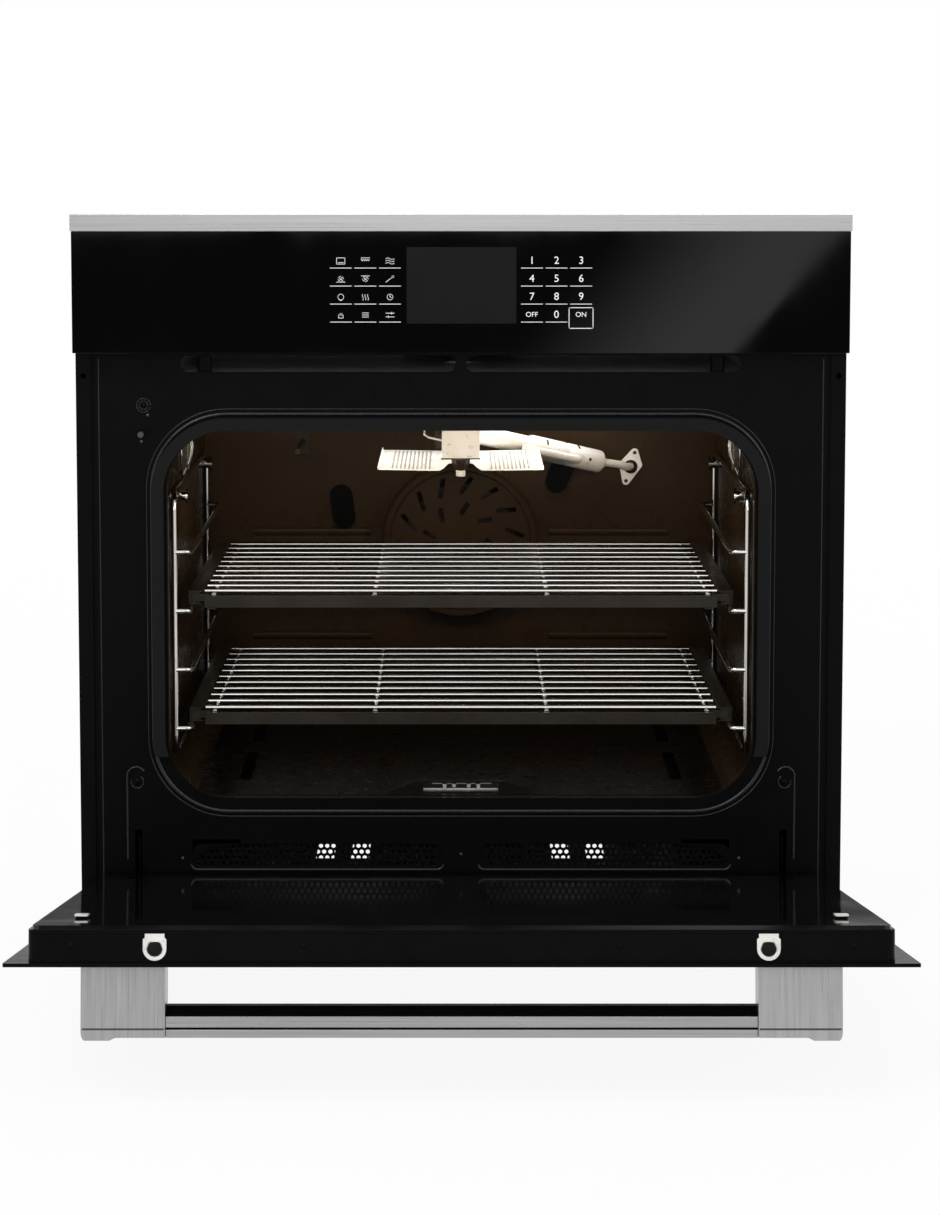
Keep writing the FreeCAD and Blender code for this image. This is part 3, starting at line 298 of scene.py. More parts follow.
def board_green():
    """Circuit board: green mask over copper tracks."""
    f = Finish("board_green", (0.012, 0.09, 0.035), 0.25)
    bricks = f.add("ShaderNodeTexBrick", {"Vector": f.turned(math.pi / 2, (60, 60, 60))},
                   {"Color1": (0.01, 0.08, 0.03, 1), "Color2": (0.02, 0.13, 0.05, 1),
                    "Mortar": (0.05, 0.2, 0.08, 1), "Mortar Size": 0.03, "Scale": 6.0})
    f.wire("Base Color", bricks.outputs["Color"])
    f.relief([(bricks.outputs["Fac"], 0.2, 0.0001), (f.noise(400, 2), 0.03, 0.0001)], edge=0.0003)
    return f.material


def bumper_rubber():
    """Silicone rubber with a soft moulded skin."""
    f = Finish("bumper_rubber", (0.0035, 0.0035, 0.0035), 0.6)
    f.wire("Roughness", f.spread(f.noise(250, 3), 0.45, 0.7))
    f.set(f.shader, {"Specular IOR Level": 0.12})
    f.relief([(f.noise(800, 3), 0.2, 0.0003)], edge=0.0006)
    return f.material


def gasket_fibre():
    """Braided glass fibre rope."""
    f = Finish("gasket_fibre", (0.004, 0.004, 0.004), 0.7)
    braid = f.add("ShaderNodeTexWave", {"Vector": f.place}, {"Scale": 260, "Distortion": 3.0, "Detail": 2.0},
                  bands_direction="DIAGONAL").outputs["Fac"]
    f.wire("Base Color", f.blend(braid, (0.003, 0.003, 0.003), (0.008, 0.008, 0.0078)))
    f.set(f.shader, {"Specular IOR Level": 0.12})
    f.relief([(braid, 0.6, 0.0006), (f.noise(1500, 3), 0.3, 0.0002)])
    return f.material


def mineral_wool():
    """Matted yellow wool batts."""
    f = Finish("mineral_wool", (0.62, 0.55, 0.36), 0.95)
    fibres = f.noise(120, 8, f.scaled((1, 0.3, 1)), roughness=0.75, distortion=1.2)
    f.wire("Base Color", f.blend(f.spread(fibres, 0, 1), (0.5, 0.42, 0.24), (0.74, 0.68, 0.5)))
    f.set(f.shader, {"Sheen Weight": 0.4})
    f.relief([(fibres, 0.9, 0.003)])
    return f.material


def igniter_ceramic():
    """Porous ceramic."""
    f = Finish("igniter_ceramic", (0.7, 0.68, 0.6), 0.75)
    f.wire("Base Color", f.blend(f.spread(f.noise(180, 4), 0, 1), (0.6, 0.57, 0.5), (0.78, 0.76, 0.7)))
    f.relief([(f.noise(900, 4), 0.3, 0.0002)], edge=0.0003)
    return f.material


def legend_ink():
    """Pale ink fired onto glass, with a faint painted glow."""
    f = Finish("legend_ink", (0.72, 0.72, 0.72), 0.5)
    f.wire("Base Color", f.blend(f.spread(f.noise(700, 2), 0, 1), (0.66, 0.66, 0.66), (0.78, 0.78, 0.78)))
    # The faint emission is a painted glow; the ink is no lamp.
    f.set(f.shader, {"Emission Color": (0.9, 0.95, 1.0, 1), "Emission Strength": 0.12})
    f.relief([(f.noise(1500, 2), 0.05, 0.0001)])
    return f.material


def display_film():
    """The display's dark grey window."""
    f = Finish("display_film", (0.012, 0.012, 0.0125), 0.16)
    f.wire("Base Color", f.blend(f.spread(f.noise(1200, 1), 0, 1, 0.4, 0.6),
                                 (0.0075, 0.0075, 0.0078), (0.009, 0.009, 0.0094)))
    f.wire("Roughness", f.spread(f.noise(20, 3), 0.2, 0.3))
    f.set(f.shader, {"Specular IOR Level": 0.05})
    f.relief([(f.noise(900, 1), 0.03, 0.0001)])
    return f.material


DOOR_TILT = math.radians(8.4)
FINISHES = {
    "enamel_black": enamel_black(),
    "cavity_enamel": cavity_enamel(),
    # The oven floor's enamel is the cavity enamel darkened to 0.16: painted shade.
    "floor_enamel_painted_shade": cavity_enamel("floor_enamel_painted_shade", 0.16),
    "black_glass": black_glass(),
    "inner_glass": inner_glass(),
    "lamp_glass": lamp_glass(),
    "brushed_steel": brushed("brushed_steel", (5, 430, 620), colour=(0.38, 0.38, 0.383)),
    "chrome_wire": chrome_wire(),
    "rail_steel": rail_steel(),
    "burner_steel": burner_steel(),
    "galvanised": galvanised(),
    "zinc_steel": zinc_steel(),
    "motor_black": painted("motor_black", (0.02, 0.02, 0.021), 0.5, 500, 0.0004),
    "valve_aluminium": valve_aluminium(),
    "plastic_black": painted("plastic_black", (0.018, 0.018, 0.019), 0.45, 900, 0.0003),
    "board_green": board_green(),
    "bumper_rubber": bumper_rubber(),
    "gasket_fibre": gasket_fibre(),
    "mineral_wool": mineral_wool(),
    "igniter_ceramic": igniter_ceramic(),
}
RIB_HIGHLIGHT_ENAMEL = rib_enamel_painted_highlight()
LEGEND = legend_ink()
DISPLAY = display_film()
# A paler copy of the burner steel for the broil screen: partly the sheet's own colour, partly painted light of the
# burner on its wings.
BRIGHT_SHEET = burner_steel("bright_sheet", 0.92, 0.1)
PLATED = burner_steel("plated_bracket", 0.72, 0.5)
# Parts that take a darker finish than their slot names; the oven floor's darker enamel is painted shade.
DARKER_FINISHES = {"temperature_sensor": "rail_steel", "convection_fan": "rail_steel", "burner_tray": "rail_steel",
        "hinge_receivers": "rail_steel", "hinge_arms": "enamel_black", "oven_floor": "floor_enamel_painted_shade",
        "igniters": "rail_steel"}
GRAINED = brushed("grained_steel", (760, 10, 12), angle=DOOR_TILT, colour=(0.41, 0.41, 0.413))


def dress_cad_nodes():
    """Gives every CAD node the finish that its material slot names, or a darker one for some parts; on the oven
    floor that darker enamel is painted shade.
    """
    for name, node in nodes.items():
        for place in node.material_slots:
            place.material = FINISHES[DARKER_FINISHES.get(name, place.material.name.split(".")[0])]


# ---------------------------------------------------------------- mesh tools

def mesh_piece(name, bm, body, slots, smooth=30):
    """Makes an object from bm. slots are the record's slots, or materials, in the order of material_index."""
    mesh = bpy.data.meshes.new(name)
    bmesh.ops.recalc_face_normals(bm, faces=bm.faces)
    bm.to_mesh(mesh)
    bm.free()
    piece = bpy.data.objects.new(name, mesh)
    bpy.context.scene.collection.objects.link(piece)
    for slot in slots:
        mesh.materials.append(FINISHES[slot] if isinstance(slot, str) else slot)
    mesh.shade_smooth()
    mesh.set_sharp_from_angle(angle=math.radians(smooth))
    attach(piece, body)
    return piece


def add_prism(bm, outline, place, low, high, index=0):
    """A closed prism: outline points (u, v) carried by place(u, v, w) from w = low to w = high."""
    ends = [[bm.verts.new(place(u, v, w)) for u, v in outline] for w in (low, high)]
    faces = [bm.faces.new(ends[0]), bm.faces.new(ends[1][::-1])]
    for k in range(len(outline)):
        n = (k + 1) % len(outline)
        faces.append(bm.faces.new((ends[0][k], ends[1][k], ends[1][n], ends[0][n])))
    for face in faces:
        face.material_index = index
    return faces


def add_box(bm, low, high, bevel=0.0, index=0):
    outline = [(low[0], low[2]), (high[0], low[2]), (high[0], high[2]), (low[0], high[2])]
    faces = add_prism(bm, outline, lambda u, v, w: (u, w, v), low[1], high[1], index)
    if bevel:
        round_edges(bm, faces, bevel)
    return faces


def round_edges(bm, faces, radius, segments=2):
    """Rounds every sharp edge of some faces."""
    edges = {e for f in faces for e in f.edges if len(e.link_faces) == 2 and e.calc_face_angle() > 0.5}
    bmesh.ops.bevel(bm, geom=list(edges), offset=radius, segments=segments, profile=0.6, affect="EDGES",
                    clamp_overlap=True, material=-1)


def arc(centre, radius, start, end, steps=10, squash=1.0):
    """Points on an arc, by angles in degrees, with its height scaled by squash."""
    turns = [math.radians(start + (end - start) * k / steps) for k in range(steps + 1)]
    return [(centre[0] + radius * math.cos(t), centre[1] + radius * squash * math.sin(t)) for t in turns]


def rounded(x0, x1, z0, z1, radius, steps=10):
    """A rounded rectangle's outline, from the lower left corner round."""
    corners = [(x0 + radius, z0 + radius, 180), (x1 - radius, z0 + radius, 270),
               (x1 - radius, z1 - radius, 0), (x0 + radius, z1 - radius, 90)]
    return [p for x, z, turn in corners for p in arc((x, z), radius, turn, turn + 90, steps)]


def add_bead(bm, path, place, width, height, closed=False, steps=6):
    """A raised half-round rib along a path of (u, v) points. place(u, v, w) lifts it by w."""
    count = len(path)
    rings = []
    for k, (u, v) in enumerate(path):
        before = path[k - 1] if closed or k else path[k]
        after = path[(k + 1) % count] if closed or k < count - 1 else path[k]
        along = Vector((after[0] - before[0], after[1] - before[1])).normalized()
        side = Vector((-along.y, along.x))
        ring = []
        for t in range(steps + 1):
            turn = math.pi * t / steps
            off = side * (math.cos(turn) * width / 2)
            ring.append(bm.verts.new(place(u + off.x, v + off.y, height * math.sin(turn))))
        rings.append(ring)
    for k in range(count if closed else count - 1):
        a, b = rings[k], rings[(k + 1) % count]
        for t in range(steps):
            bm.faces.new((a[t], a[t + 1], b[t + 1], b[t]))
        bm.faces.new((a[0], b[0], b[steps], a[steps]))
    if not closed:
        bm.faces.new(rings[0])
        bm.faces.new(rings[-1][::-1])


def add_tube(bm, path, radius, steps=10, closed=False, index=0):
    """A round wire along a path of points."""
    points = [Vector(p) for p in path]
    count = len(points)
    rings = []
    side = None
    for k, point in enumerate(points):
        before = points[k - 1] if closed or k else point
        after = points[(k + 1) % count] if closed or k < count - 1 else point
        along = (after - before).normalized()
        side = side or along.orthogonal().normalized()
        side = (side - along * side.dot(along)).normalized()
        up = along.cross(side)
        rings.append([bm.verts.new(point + (side * math.cos(a) + up * math.sin(a)) * radius)
                      for a in (math.tau * t / steps for t in range(steps))])
    faces = []
    for k in range(count if closed else count - 1):
        a, b = rings[k], rings[(k + 1) % count]
        for t in range(steps):
            faces.append(bm.faces.new((a[t], a[(t + 1) % steps], b[(t + 1) % steps], b[t])))
    if not closed:
        faces += [bm.faces.new(rings[0][::-1]), bm.faces.new(rings[-1])]
    for face in faces:
        face.material_index = index


def add_lathe(bm, profile, place, steps=24, index=0):
    """A turned form: profile points (radius, height), with place(u, v, w) putting the axis along w."""
    rings = []
    for radius, height in profile:
        if radius == 0:
            rings.append([bm.verts.new(place(0, 0, height))])
        else:
            rings.append([bm.verts.new(place(radius * math.cos(a), radius * math.sin(a), height))
                          for a in (math.tau * t / steps for t in range(steps))])
    faces = []
    for a, b in zip(rings, rings[1:]):
        for t in range(steps):
            n = (t + 1) % steps
            corners = [a[t % len(a)], a[n % len(a)], b[n % len(b)], b[t % len(b)]]
            faces.append(bm.faces.new(list(dict.fromkeys(corners))))
    if len(rings[0]) > 1:
        faces.append(bm.faces.new(rings[0]))
    for face in faces:
        face.material_index = index
    return faces


def on_front(y):
    """Places (x, z) on a plane that faces the front, lifted towards it by w."""
    return lambda u, v, w: (u, y - w, v)


def mirrored(path):
    return [(-u, v) for u, v in path]


def add_screw(bm, place, radius, height, index=0):
    """A pan head screw with a washer face and a cross recess drawn as two raised bars' gap."""
    profile = [(radius * 1.35, 0), (radius * 1.35, height * 0.25), (radius, height * 0.3),
               (radius * 0.96, height * 0.7), (radius * 0.7, height), (radius * 0.25, height),
               (radius * 0.18, height * 0.55), (0, height * 0.5)]
    add_lathe(bm, profile, place, 20, index)


# ---------------------------------------------------------------- where things are

HINGE = next(j for j in frame["joints"] if j["name"] == "door_hinge")
PIVOT = Vector(HINGE["pos_m"])
OPEN_ANGLE = -math.radians(HINGE["range_deg"][0])
FRAME_LOW, FRAME_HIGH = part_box("front_frame")
FACE = -0.294
PANEL_LOW, PANEL_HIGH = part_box("control_panel_glass")
LINER_LOW, LINER_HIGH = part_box("cavity_liner")
BACK_WALL = 0.194
GRILLE_LOW, GRILLE_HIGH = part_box("intake_grilles")


def on_door(x, out, along):
    """A point on the open door: out grows towards the cavity side and along grows away from the hinge."""
    turn = (math.cos(OPEN_ANGLE), math.sin(OPEN_ANGLE))
    return (x, PIVOT.y + out * turn[0] - along * turn[1], PIVOT.z + out * turn[1] + along * turn[0])


# ---------------------------------------------------------------- front frame

def hook_path():
    """The embossed hook over each hinge boss: up, round and down again."""
    x, top, radius = -0.3212, 0.1721, 0.0091
    return [(x - radius, 0.0888), (x - radius, 0.13)] + arc((x, top), radius, 180, 35, 12)


def build_frame_beads():
    """Pressed ribs of the face frame: round the opening, over the hinge bosses and under the air intakes."""
    bm = bmesh.new()
    place = on_front(FACE)
    ring = rounded(-0.3035, 0.3035, 0.1366, 0.5316, 0.0742, 14)
    add_bead(bm, ring, place, 0.0036, 0.0011, closed=True)
    inner = rounded(-0.3085, 0.3085, 0.1316, 0.5366, 0.079, 14)
    add_bead(bm, inner, place, 0.0012, 0.0004, closed=True)
    left_rim = arc((-0.2615, 0.0845), 0.0065, 190, 270, 6) + [(-0.14, 0.078)]
    left_rim += arc((-0.0235, 0.0845), 0.0065, 270, 345, 6)
    for turn in (lambda p: p, mirrored):
        add_bead(bm, turn(hook_path()), place, 0.0024, 0.0017)
        add_bead(bm, turn(left_rim), place, 0.0022, 0.0011)
        add_bead(bm, turn([(-0.3545, 0.024), (-0.3545, 0.3), (-0.3545, 0.586)]), place, 0.0014, 0.0006)
        add_bead(bm, turn(arc((-0.3204, 0.1662), 0.0062, -200, 60, 16)), place, 0.0013, 0.0008)
    for radius in (0.0068, 0.0042):
        add_bead(bm, arc((-0.3106, 0.5402), radius, 0, 345, 20), place, 0.0012, 0.0008)
    beads = mesh_piece("frame_beads", bm, "chassis", ["enamel_black"], 60)
    # The ribs take the lighter enamel: a painted highlight.
    beads.data.materials[0] = RIB_HIGHLIGHT_ENAMEL
    return beads


def build_frame_fittings():
    """Small things on the face frame: boss screws, plugged tool holes and the latch slot's lips."""
    bm = bmesh.new()
    for x in (-0.3204, 0.3204):
        add_screw(bm, lambda u, v, w, x=x: (x + u, FACE - w, 0.1662 + v), 0.0024, 0.0016, 0)
    add_screw(bm, lambda u, v, w: (-0.3106 + u, FACE - w, 0.5402 + v), 0.002, 0.0013, 0)
    plugs = [(-0.276, 0.0895), (0.276, 0.0895), (0.0002, 0.0935), (-0.3067, 0.5307), (-0.3131, 0.5047)]
    for x, z in plugs:
        profile = [(0.0015, 0), (0.0014, 0.0003), (0.0007, 0.00045), (0, 0.0003)]
        add_lathe(bm, profile, lambda u, v, w, x=x, z=z: (x + u, FACE - w, z + v), 14, 1)
    for step in (-1, 1):
        lip = arc((-0.3039 + step * 0.0016, 0.513), 0.0035, 120, 240, 6)
        add_bead(bm, lip, on_front(FACE), 0.0009, 0.0007)
    return mesh_piece("frame_fittings", bm, "chassis", ["enamel_black", "plastic_black"], 40)


def build_intake_tapers():
    """Swept upper corners of the two air intake recesses."""
    bm = bmesh.new()
    outer, top = 0.2661, GRILLE_HIGH.z + 0.0002
    curve = arc((0.219, 0.081), 0.0478, 8, 90, 14, squash=0.45)
    outline = [(outer, top), (outer, 0.0845)] + curve + [(0.219, top)]
    for turn in (lambda p: p, mirrored):
        faces = add_prism(bm, turn(outline), lambda u, v, w: (u, w, v), FACE, FACE + 0.0016)
        round_edges(bm, faces, 0.0003, 1)
    return mesh_piece("intake_tapers", bm, "chassis", ["enamel_black"])


def build_vent_posts():
    """Posts that hold the lips of the hot air slots apart."""
    bm = bmesh.new()
    for side in (-1, 1):
        post = arc((side * 0.251, 0), 0.0066, 0, 360, 16)[:-1]
        outline = [(x, -0.288 + z * 0.5) for x, z in post]
        add_prism(bm, outline, lambda u, v, w: (u, v, w), 0.5728, 0.5892)
    return mesh_piece("vent_posts", bm, "chassis", ["enamel_black"], 50)


# ---------------------------------------------------------------- control panel

KEY_ROWS = [0.6823 - 0.0174 * row for row in range(4)]
KEY_COLUMNS = [0.0924 + 0.0238 * column for column in (-1, 0, 1)]
INK_LIFT = 0.00012


def ink_place(u, v, w):
    return (u, PANEL_LOW.y - w, v)


def add_stroke(bm, points, width=0.0006):
    """An inked line through (x, z) points."""
    for a, b in zip(points, points[1:]):
        along = (Vector(b) - Vector(a)).normalized()
        side = Vector((-along.y, along.x)) * width / 2
        end = along * width / 2
        corners = [Vector(a) - end - side, Vector(b) + end - side, Vector(b) + end + side, Vector(a) - end + side]
        add_prism(bm, [tuple(c) for c in corners], ink_place, 0, INK_LIFT)


def add_text(bm, text, x, z, size):
    """Plain lettering, centred on (x, z)."""
    curve = bpy.data.curves.new("legend", "FONT")
    curve.body = text
    curve.size = size
    curve.align_x, curve.align_y = "CENTER", "CENTER"
    curve.extrude = INK_LIFT / 2
    holder = bpy.data.objects.new("legend", curve)
    bpy.context.scene.collection.objects.link(holder)
    holder.location = (x, PANEL_LOW.y - INK_LIFT / 2, z)
    holder.rotation_euler = (math.pi / 2, 0, 0)
    bpy.context.view_layer.update()
    mesh = bpy.data.meshes.new_from_object(holder.evaluated_get(bpy.context.evaluated_depsgraph_get()))
    mesh.transform(holder.matrix_world)
    bm.from_mesh(mesh)
    bpy.data.objects.remove(holder)
    bpy.data.meshes.remove(mesh)


def wave(x, z, width, height, count=8):
    return [(x + width * (k / count - 0.5), z + height * math.sin(math.tau * k / count)) for k in range(count + 1)]


def icon(kind, x, z):
    """Strokes of one plain pictogram, about 8 mm wide."""
    left, right, low, high = x - 0.004, x + 0.004, z - 0.003, z + 0.003
    ring = arc((x, z), 0.0028, 0, 360, 16)
    blades = [arc((x, z), 0.0026, turn, turn + 50, 4) + [(x, z)] for turn in (0, 90, 180, 270)]
    heat_low = [[(left, low), (right, low)]]
    heat_high = [[(left, high), (right, high)]]
    zigzag = [(left + 0.001 * k, high - 0.0014 * (k % 2) - 0.0015) for k in range(9)]
    box = [(left, low), (right, low), (right, high), (left, high), (left, low)]
    return {
        "bake": [box, [(left + 0.0015, low + 0.0014), (right - 0.0015, low + 0.0014)]],
        "broil": heat_high + [zigzag],
        "air": [wave(x, z + step * 0.0022, 0.008, 0.0008) for step in (-1, 0, 1)],
        "fan_low": blades + heat_low,
        "fan_high": blades + heat_high,
        "probe": [[(left, low), (x + 0.002, z + 0.0015)], arc((x + 0.0028, z + 0.0022), 0.001, 0, 360, 10)],
        "light": [ring, [(x - 0.001, low - 0.0002), (x + 0.001, low - 0.0002)]],
        "steam": [[(x + 0.0025 * k + 0.0006 * math.sin(t), low + 0.0009 * t) for t in range(7)]
                  for k in (-1, 0, 1)],
        "clock": [ring, [(x, z + 0.0018), (x, z), (x + 0.0013, z - 0.0006)]],
        "lock": [[(x - 0.0022, low), (x + 0.0022, low), (x + 0.0022, z), (x - 0.0022, z), (x - 0.0022, low)],
                 arc((x, z), 0.0015, 180, 0, 8)],
        "list": [[(left + 0.001, z + step * 0.002), (right - 0.001, z + step * 0.002)] for step in (-1, 0, 1)],
        "sliders": [[(left, z + step * 0.0018), (right, z + step * 0.0018)] for step in (-1, 1)]
        + [[(x + step * 0.0016, z + step * 0.0018 - 0.001), (x + step * 0.0016, z + step * 0.0018 + 0.001)]
           for step in (-1, 1)],
    }[kind]


def build_legends():
    """Key legends: plain pictograms on the left, a number pad on the right."""
    bm = bmesh.new()
    kinds = ["bake", "broil", "air", "fan_low", "fan_high", "probe",
             "light", "steam", "clock", "lock", "list", "sliders"]
    for place, kind in enumerate(kinds):
        x, z = -KEY_COLUMNS[2 - place % 3], KEY_ROWS[place // 3]
        for points in icon(kind, x, z):
            add_stroke(bm, points, 0.0005)
        add_stroke(bm, [(x - 0.0102, z - 0.0068), (x + 0.0102, z - 0.0068)], 0.0006)
    for place, text in enumerate(["1", "2", "3", "4", "5", "6", "7", "8", "9", "OFF", "0", "ON"]):
        x, z = KEY_COLUMNS[place % 3], KEY_ROWS[place // 3]
        add_text(bm, text, x, z + 0.0003, 0.0102 if len(text) == 1 else 0.0068)
        if text != "ON":
            add_stroke(bm, [(x - 0.0102, z - 0.0068), (x + 0.0102, z - 0.0068)], 0.0006)
    box = rounded(KEY_COLUMNS[2] - 0.0116, KEY_COLUMNS[2] + 0.0116, 0.6172, 0.6372, 0.001, 3)
    add_stroke(bm, box + box[:1], 0.0007)
    return mesh_piece("key_legends", bm, "chassis", [LEGEND])


def build_display():
    """The display's window, let into the glass."""
    bm = bmesh.new()
    outline = rounded(-0.0525, 0.0535, 0.6218, 0.6957, 0.0006, 3)
    add_prism(bm, outline, ink_place, 0, INK_LIFT)
    return mesh_piece("display_window", bm, "chassis", [DISPLAY])


# ---------------------------------------------------------------- door and handle

BAR_LOW, BAR_HIGH = -0.069, -0.043


def build_handle_bar():
    """The bar: a soft slope towards the door, a flat front and a fine groove under it."""
    bm = bmesh.new()
    top, under = 0.5178, 0.4942
    slope = [(BAR_HIGH - 0.0003, top - 0.0078), (BAR_HIGH - 0.0006, top - 0.0074),
             (BAR_HIGH - 0.0078, top - 0.0003), (BAR_HIGH - 0.0085, top)]
    groove = [(-0.0603, top), (-0.0607, top - 0.0011), (-0.0619, top - 0.0011), (-0.0623, top)]
    outline = [(BAR_HIGH - 0.0003, under)] + slope + groove + [(BAR_LOW + 0.001, top), (BAR_LOW, top - 0.001),
                                                               (BAR_LOW, under)]
    faces = add_prism(bm, outline, lambda u, v, w: on_door(w, u, v), -0.2449, 0.2449)
    # The face towards the door, the slope and the groove take black enamel: painted reflection of the black door on
    # the slope, painted shade in the groove.
    for face in faces[2:6] + faces[7:10]:
        face.material_index = 1
    bar = mesh_piece("handle_bar_brushed", bm, "door", ["brushed_steel", "enamel_black"], 12)
    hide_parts("handle_bar")
    return bar


def build_handle_posts():
    """The end blocks, cast with a stepped foot and rounded outer edges."""
    bm = bmesh.new()
    outer, inner, root = 0.3149, 0.2453, -0.0091
    foot, heel, groove = -0.0709, -0.0686, -0.0615
    side = arc((outer - 0.0034, foot + 0.0078), 0.0034, 0, -90, 6, squash=2.3)
    outline = [(outer, root)] + side + [(0.2912, foot), (0.2863, heel), (inner, heel), (inner, root)]
    for turn in (lambda p: p, mirrored):
        faces = add_prism(bm, turn(outline), lambda u, v, w: on_door(u, v, w), 0.4914, 0.5206)
        round_edges(bm, faces, 0.0009, 3)
    posts = mesh_piece("handle_end_blocks", bm, "door", ["brushed_steel"], 30)
    posts.data.materials[0] = GRAINED
    lines = bmesh.new()
    for turn in (lambda p: p, mirrored):
        add_bead(lines, turn([(inner + 0.0008, groove), (0.28, groove), (outer - 0.0012, groove)]),
                 lambda u, v, w: on_door(u, v, 0.5206 + w), 0.0016, 0.00025)
    mesh_piece("handle_seams", lines, "door", ["motor_black"], 40)
    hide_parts("handle_posts")
    return posts


def build_outer_glass():
    """The door's front glass: polished outside, with a matt fired frit on its inner face."""
    bm = bmesh.new()
    low, high = -0.0219, 0.5369
    outline = rounded(-0.3777, 0.3777, low, high, 0.002, 4)
    faces = add_prism(bm, outline, lambda u, v, w: on_door(u, w, v), -0.00895, -0.00585)
    for face in faces[1:]:
        face.material_index = 1
    round_edges(bm, faces, 0.0005, 2)
    glass = mesh_piece("door_front_glass", bm, "door", ["black_glass", "enamel_black"], 40)
    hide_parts("door_outer_glass")
    return glass


def build_bumpers():
    """Bent brackets on the door's top edge, each with a round rubber bumper."""
    bm = bmesh.new()
    edge, thick, radius, hole = 0.5341, 0.0016, 0.0097, 0.0062
    middle = 0.006
    for x in (-0.2526, 0.2526):
        turns = [math.radians(180 + 180 * k / 24) for k in range(25)]
        outer = [(x + radius * math.cos(t), middle + radius * math.sin(t)) for t in turns]
        outer += [(x + radius, middle + 0.0078), (x + 0.0081, middle + 0.0092), (x + 0.0081, middle + 0.0124),
                  (x - 0.0081, middle + 0.0124), (x - 0.0081, middle + 0.0092), (x - radius, middle + 0.0078)]
        ring_turns = [math.atan2(v - middle, u - x) for u, v in outer]
        wall = [(x + hole * math.cos(t), middle + hole * math.sin(t)) for t in ring_turns]
        lip = [(x + (hole + 0.0009) * math.cos(t), middle + (hole + 0.0009) * math.sin(t)) for t in ring_turns]
        levels = [(wall, edge), (wall, edge + thick - 0.0006), (lip, edge + thick + 0.0002),
                  (outer, edge + thick), (outer, edge)]
        rings = [[bm.verts.new(on_door(u, v, w)) for u, v in points] for points, w in levels]
        for a, b in zip(rings, rings[1:] + rings[:1]):
            for k in range(len(a)):
                n = (k + 1) % len(a)
                bm.faces.new((a[k], a[n], b[n], b[k]))
        profile = [(hole - 0.0002, 0), (hole - 0.0002, 0.0014), (hole - 0.0007, 0.0021), (hole - 0.0022, 0.0024),
                   (0, 0.0025)]
        add_lathe(bm, profile, lambda u, v, w, x=x: on_door(x + u, middle + v, edge + w), 28, 1)
    bumpers = mesh_piece("bumper_brackets", bm, "door", ["zinc_steel", "bumper_rubber"], 35)
    bumpers.data.materials[0] = PLATED
    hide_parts("door_bumpers")
    return bumpers


def build_glass_clips():
    """Small spring clips that hold the inner glass: a thin bright tongue over a black foot, which is a painted
    shadow under the tongue.
    """
    bm = bmesh.new()
    glass, along = 0.025, 0.463
    for x in (-0.3205, 0.3205):
        # The lower layer, in black enamel, is a painted shadow under each clip's tongue.
        for low, high, width, depth, index in ((0, 0.0019, 0.0052, 0.0045, 1), (0.0019, 0.0034, 0.0058, 0.0075, 0)):
            outline = rounded(x - width, x + width, along - depth, along + depth, 0.0016, 4)
            faces = add_prism(bm, outline, lambda u, v, w: on_door(u, w, v), glass + low, glass + high, index)
            round_edges(bm, faces, 0.0004, 1)
    clips = mesh_piece("inner_glass_clips", bm, "door", ["zinc_steel", "enamel_black"], 35)
    clips.data.materials[0] = PLATED
    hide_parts("glass_clips")
    return clips


def build_hole_plugs():
    """Black caps over the four mounting holes in the frame's edges."""
    bm = bmesh.new()
    for x in (-0.3692, 0.3692):
        for z in (0.044, 0.569):
            profile = [(0.0038, 0), (0.0037, 0.0008), (0.0026, 0.0014), (0, 0.0016)]
            add_lathe(bm, profile, lambda u, v, w, x=x, z=z: (x + u, -0.2768 - w, z + v), 20)
    return mesh_piece("mounting_hole_caps", bm, "chassis", ["enamel_black"], 40)


def build_door_trim():
    """Folded seams of the door liner's edge, and screws along it."""
    bm = bmesh.new()
    for level in (-0.0035, 0.0192):
        path = [(-0.3555, level), (0.0, level), (0.3555, level)]
        add_bead(bm, path, lambda u, v, w: on_door(u, v, 0.5341 + w), 0.0012, 0.0005)
    for x in (-0.322, -0.13, 0.13, 0.322):
        add_screw(bm, lambda u, v, w, x=x: on_door(x + u, 0.0085 + v, 0.5341 + w), 0.0022, 0.0009)
    return mesh_piece("door_edge_seams", bm, "door", ["enamel_black"], 40)


# ---------------------------------------------------------------- inside the cavity

def screen_height(x):
    """The burner screen's section: flat wings, a dip each side of the middle and a raised centre."""
    low = 0.459
    bends = [(-0.086, low), (-0.02, low - 0.001), (-0.012, low + 0.007), (0.012, low + 0.007),
             (0.02, low - 0.001), (0.086, low)]
    for (x0, z0), (x1, z1) in zip(bends, bends[1:]):
        if x <= x1:
            return z0 + (z1 - z0) * (x - x0) / (x1 - x0)
    return low


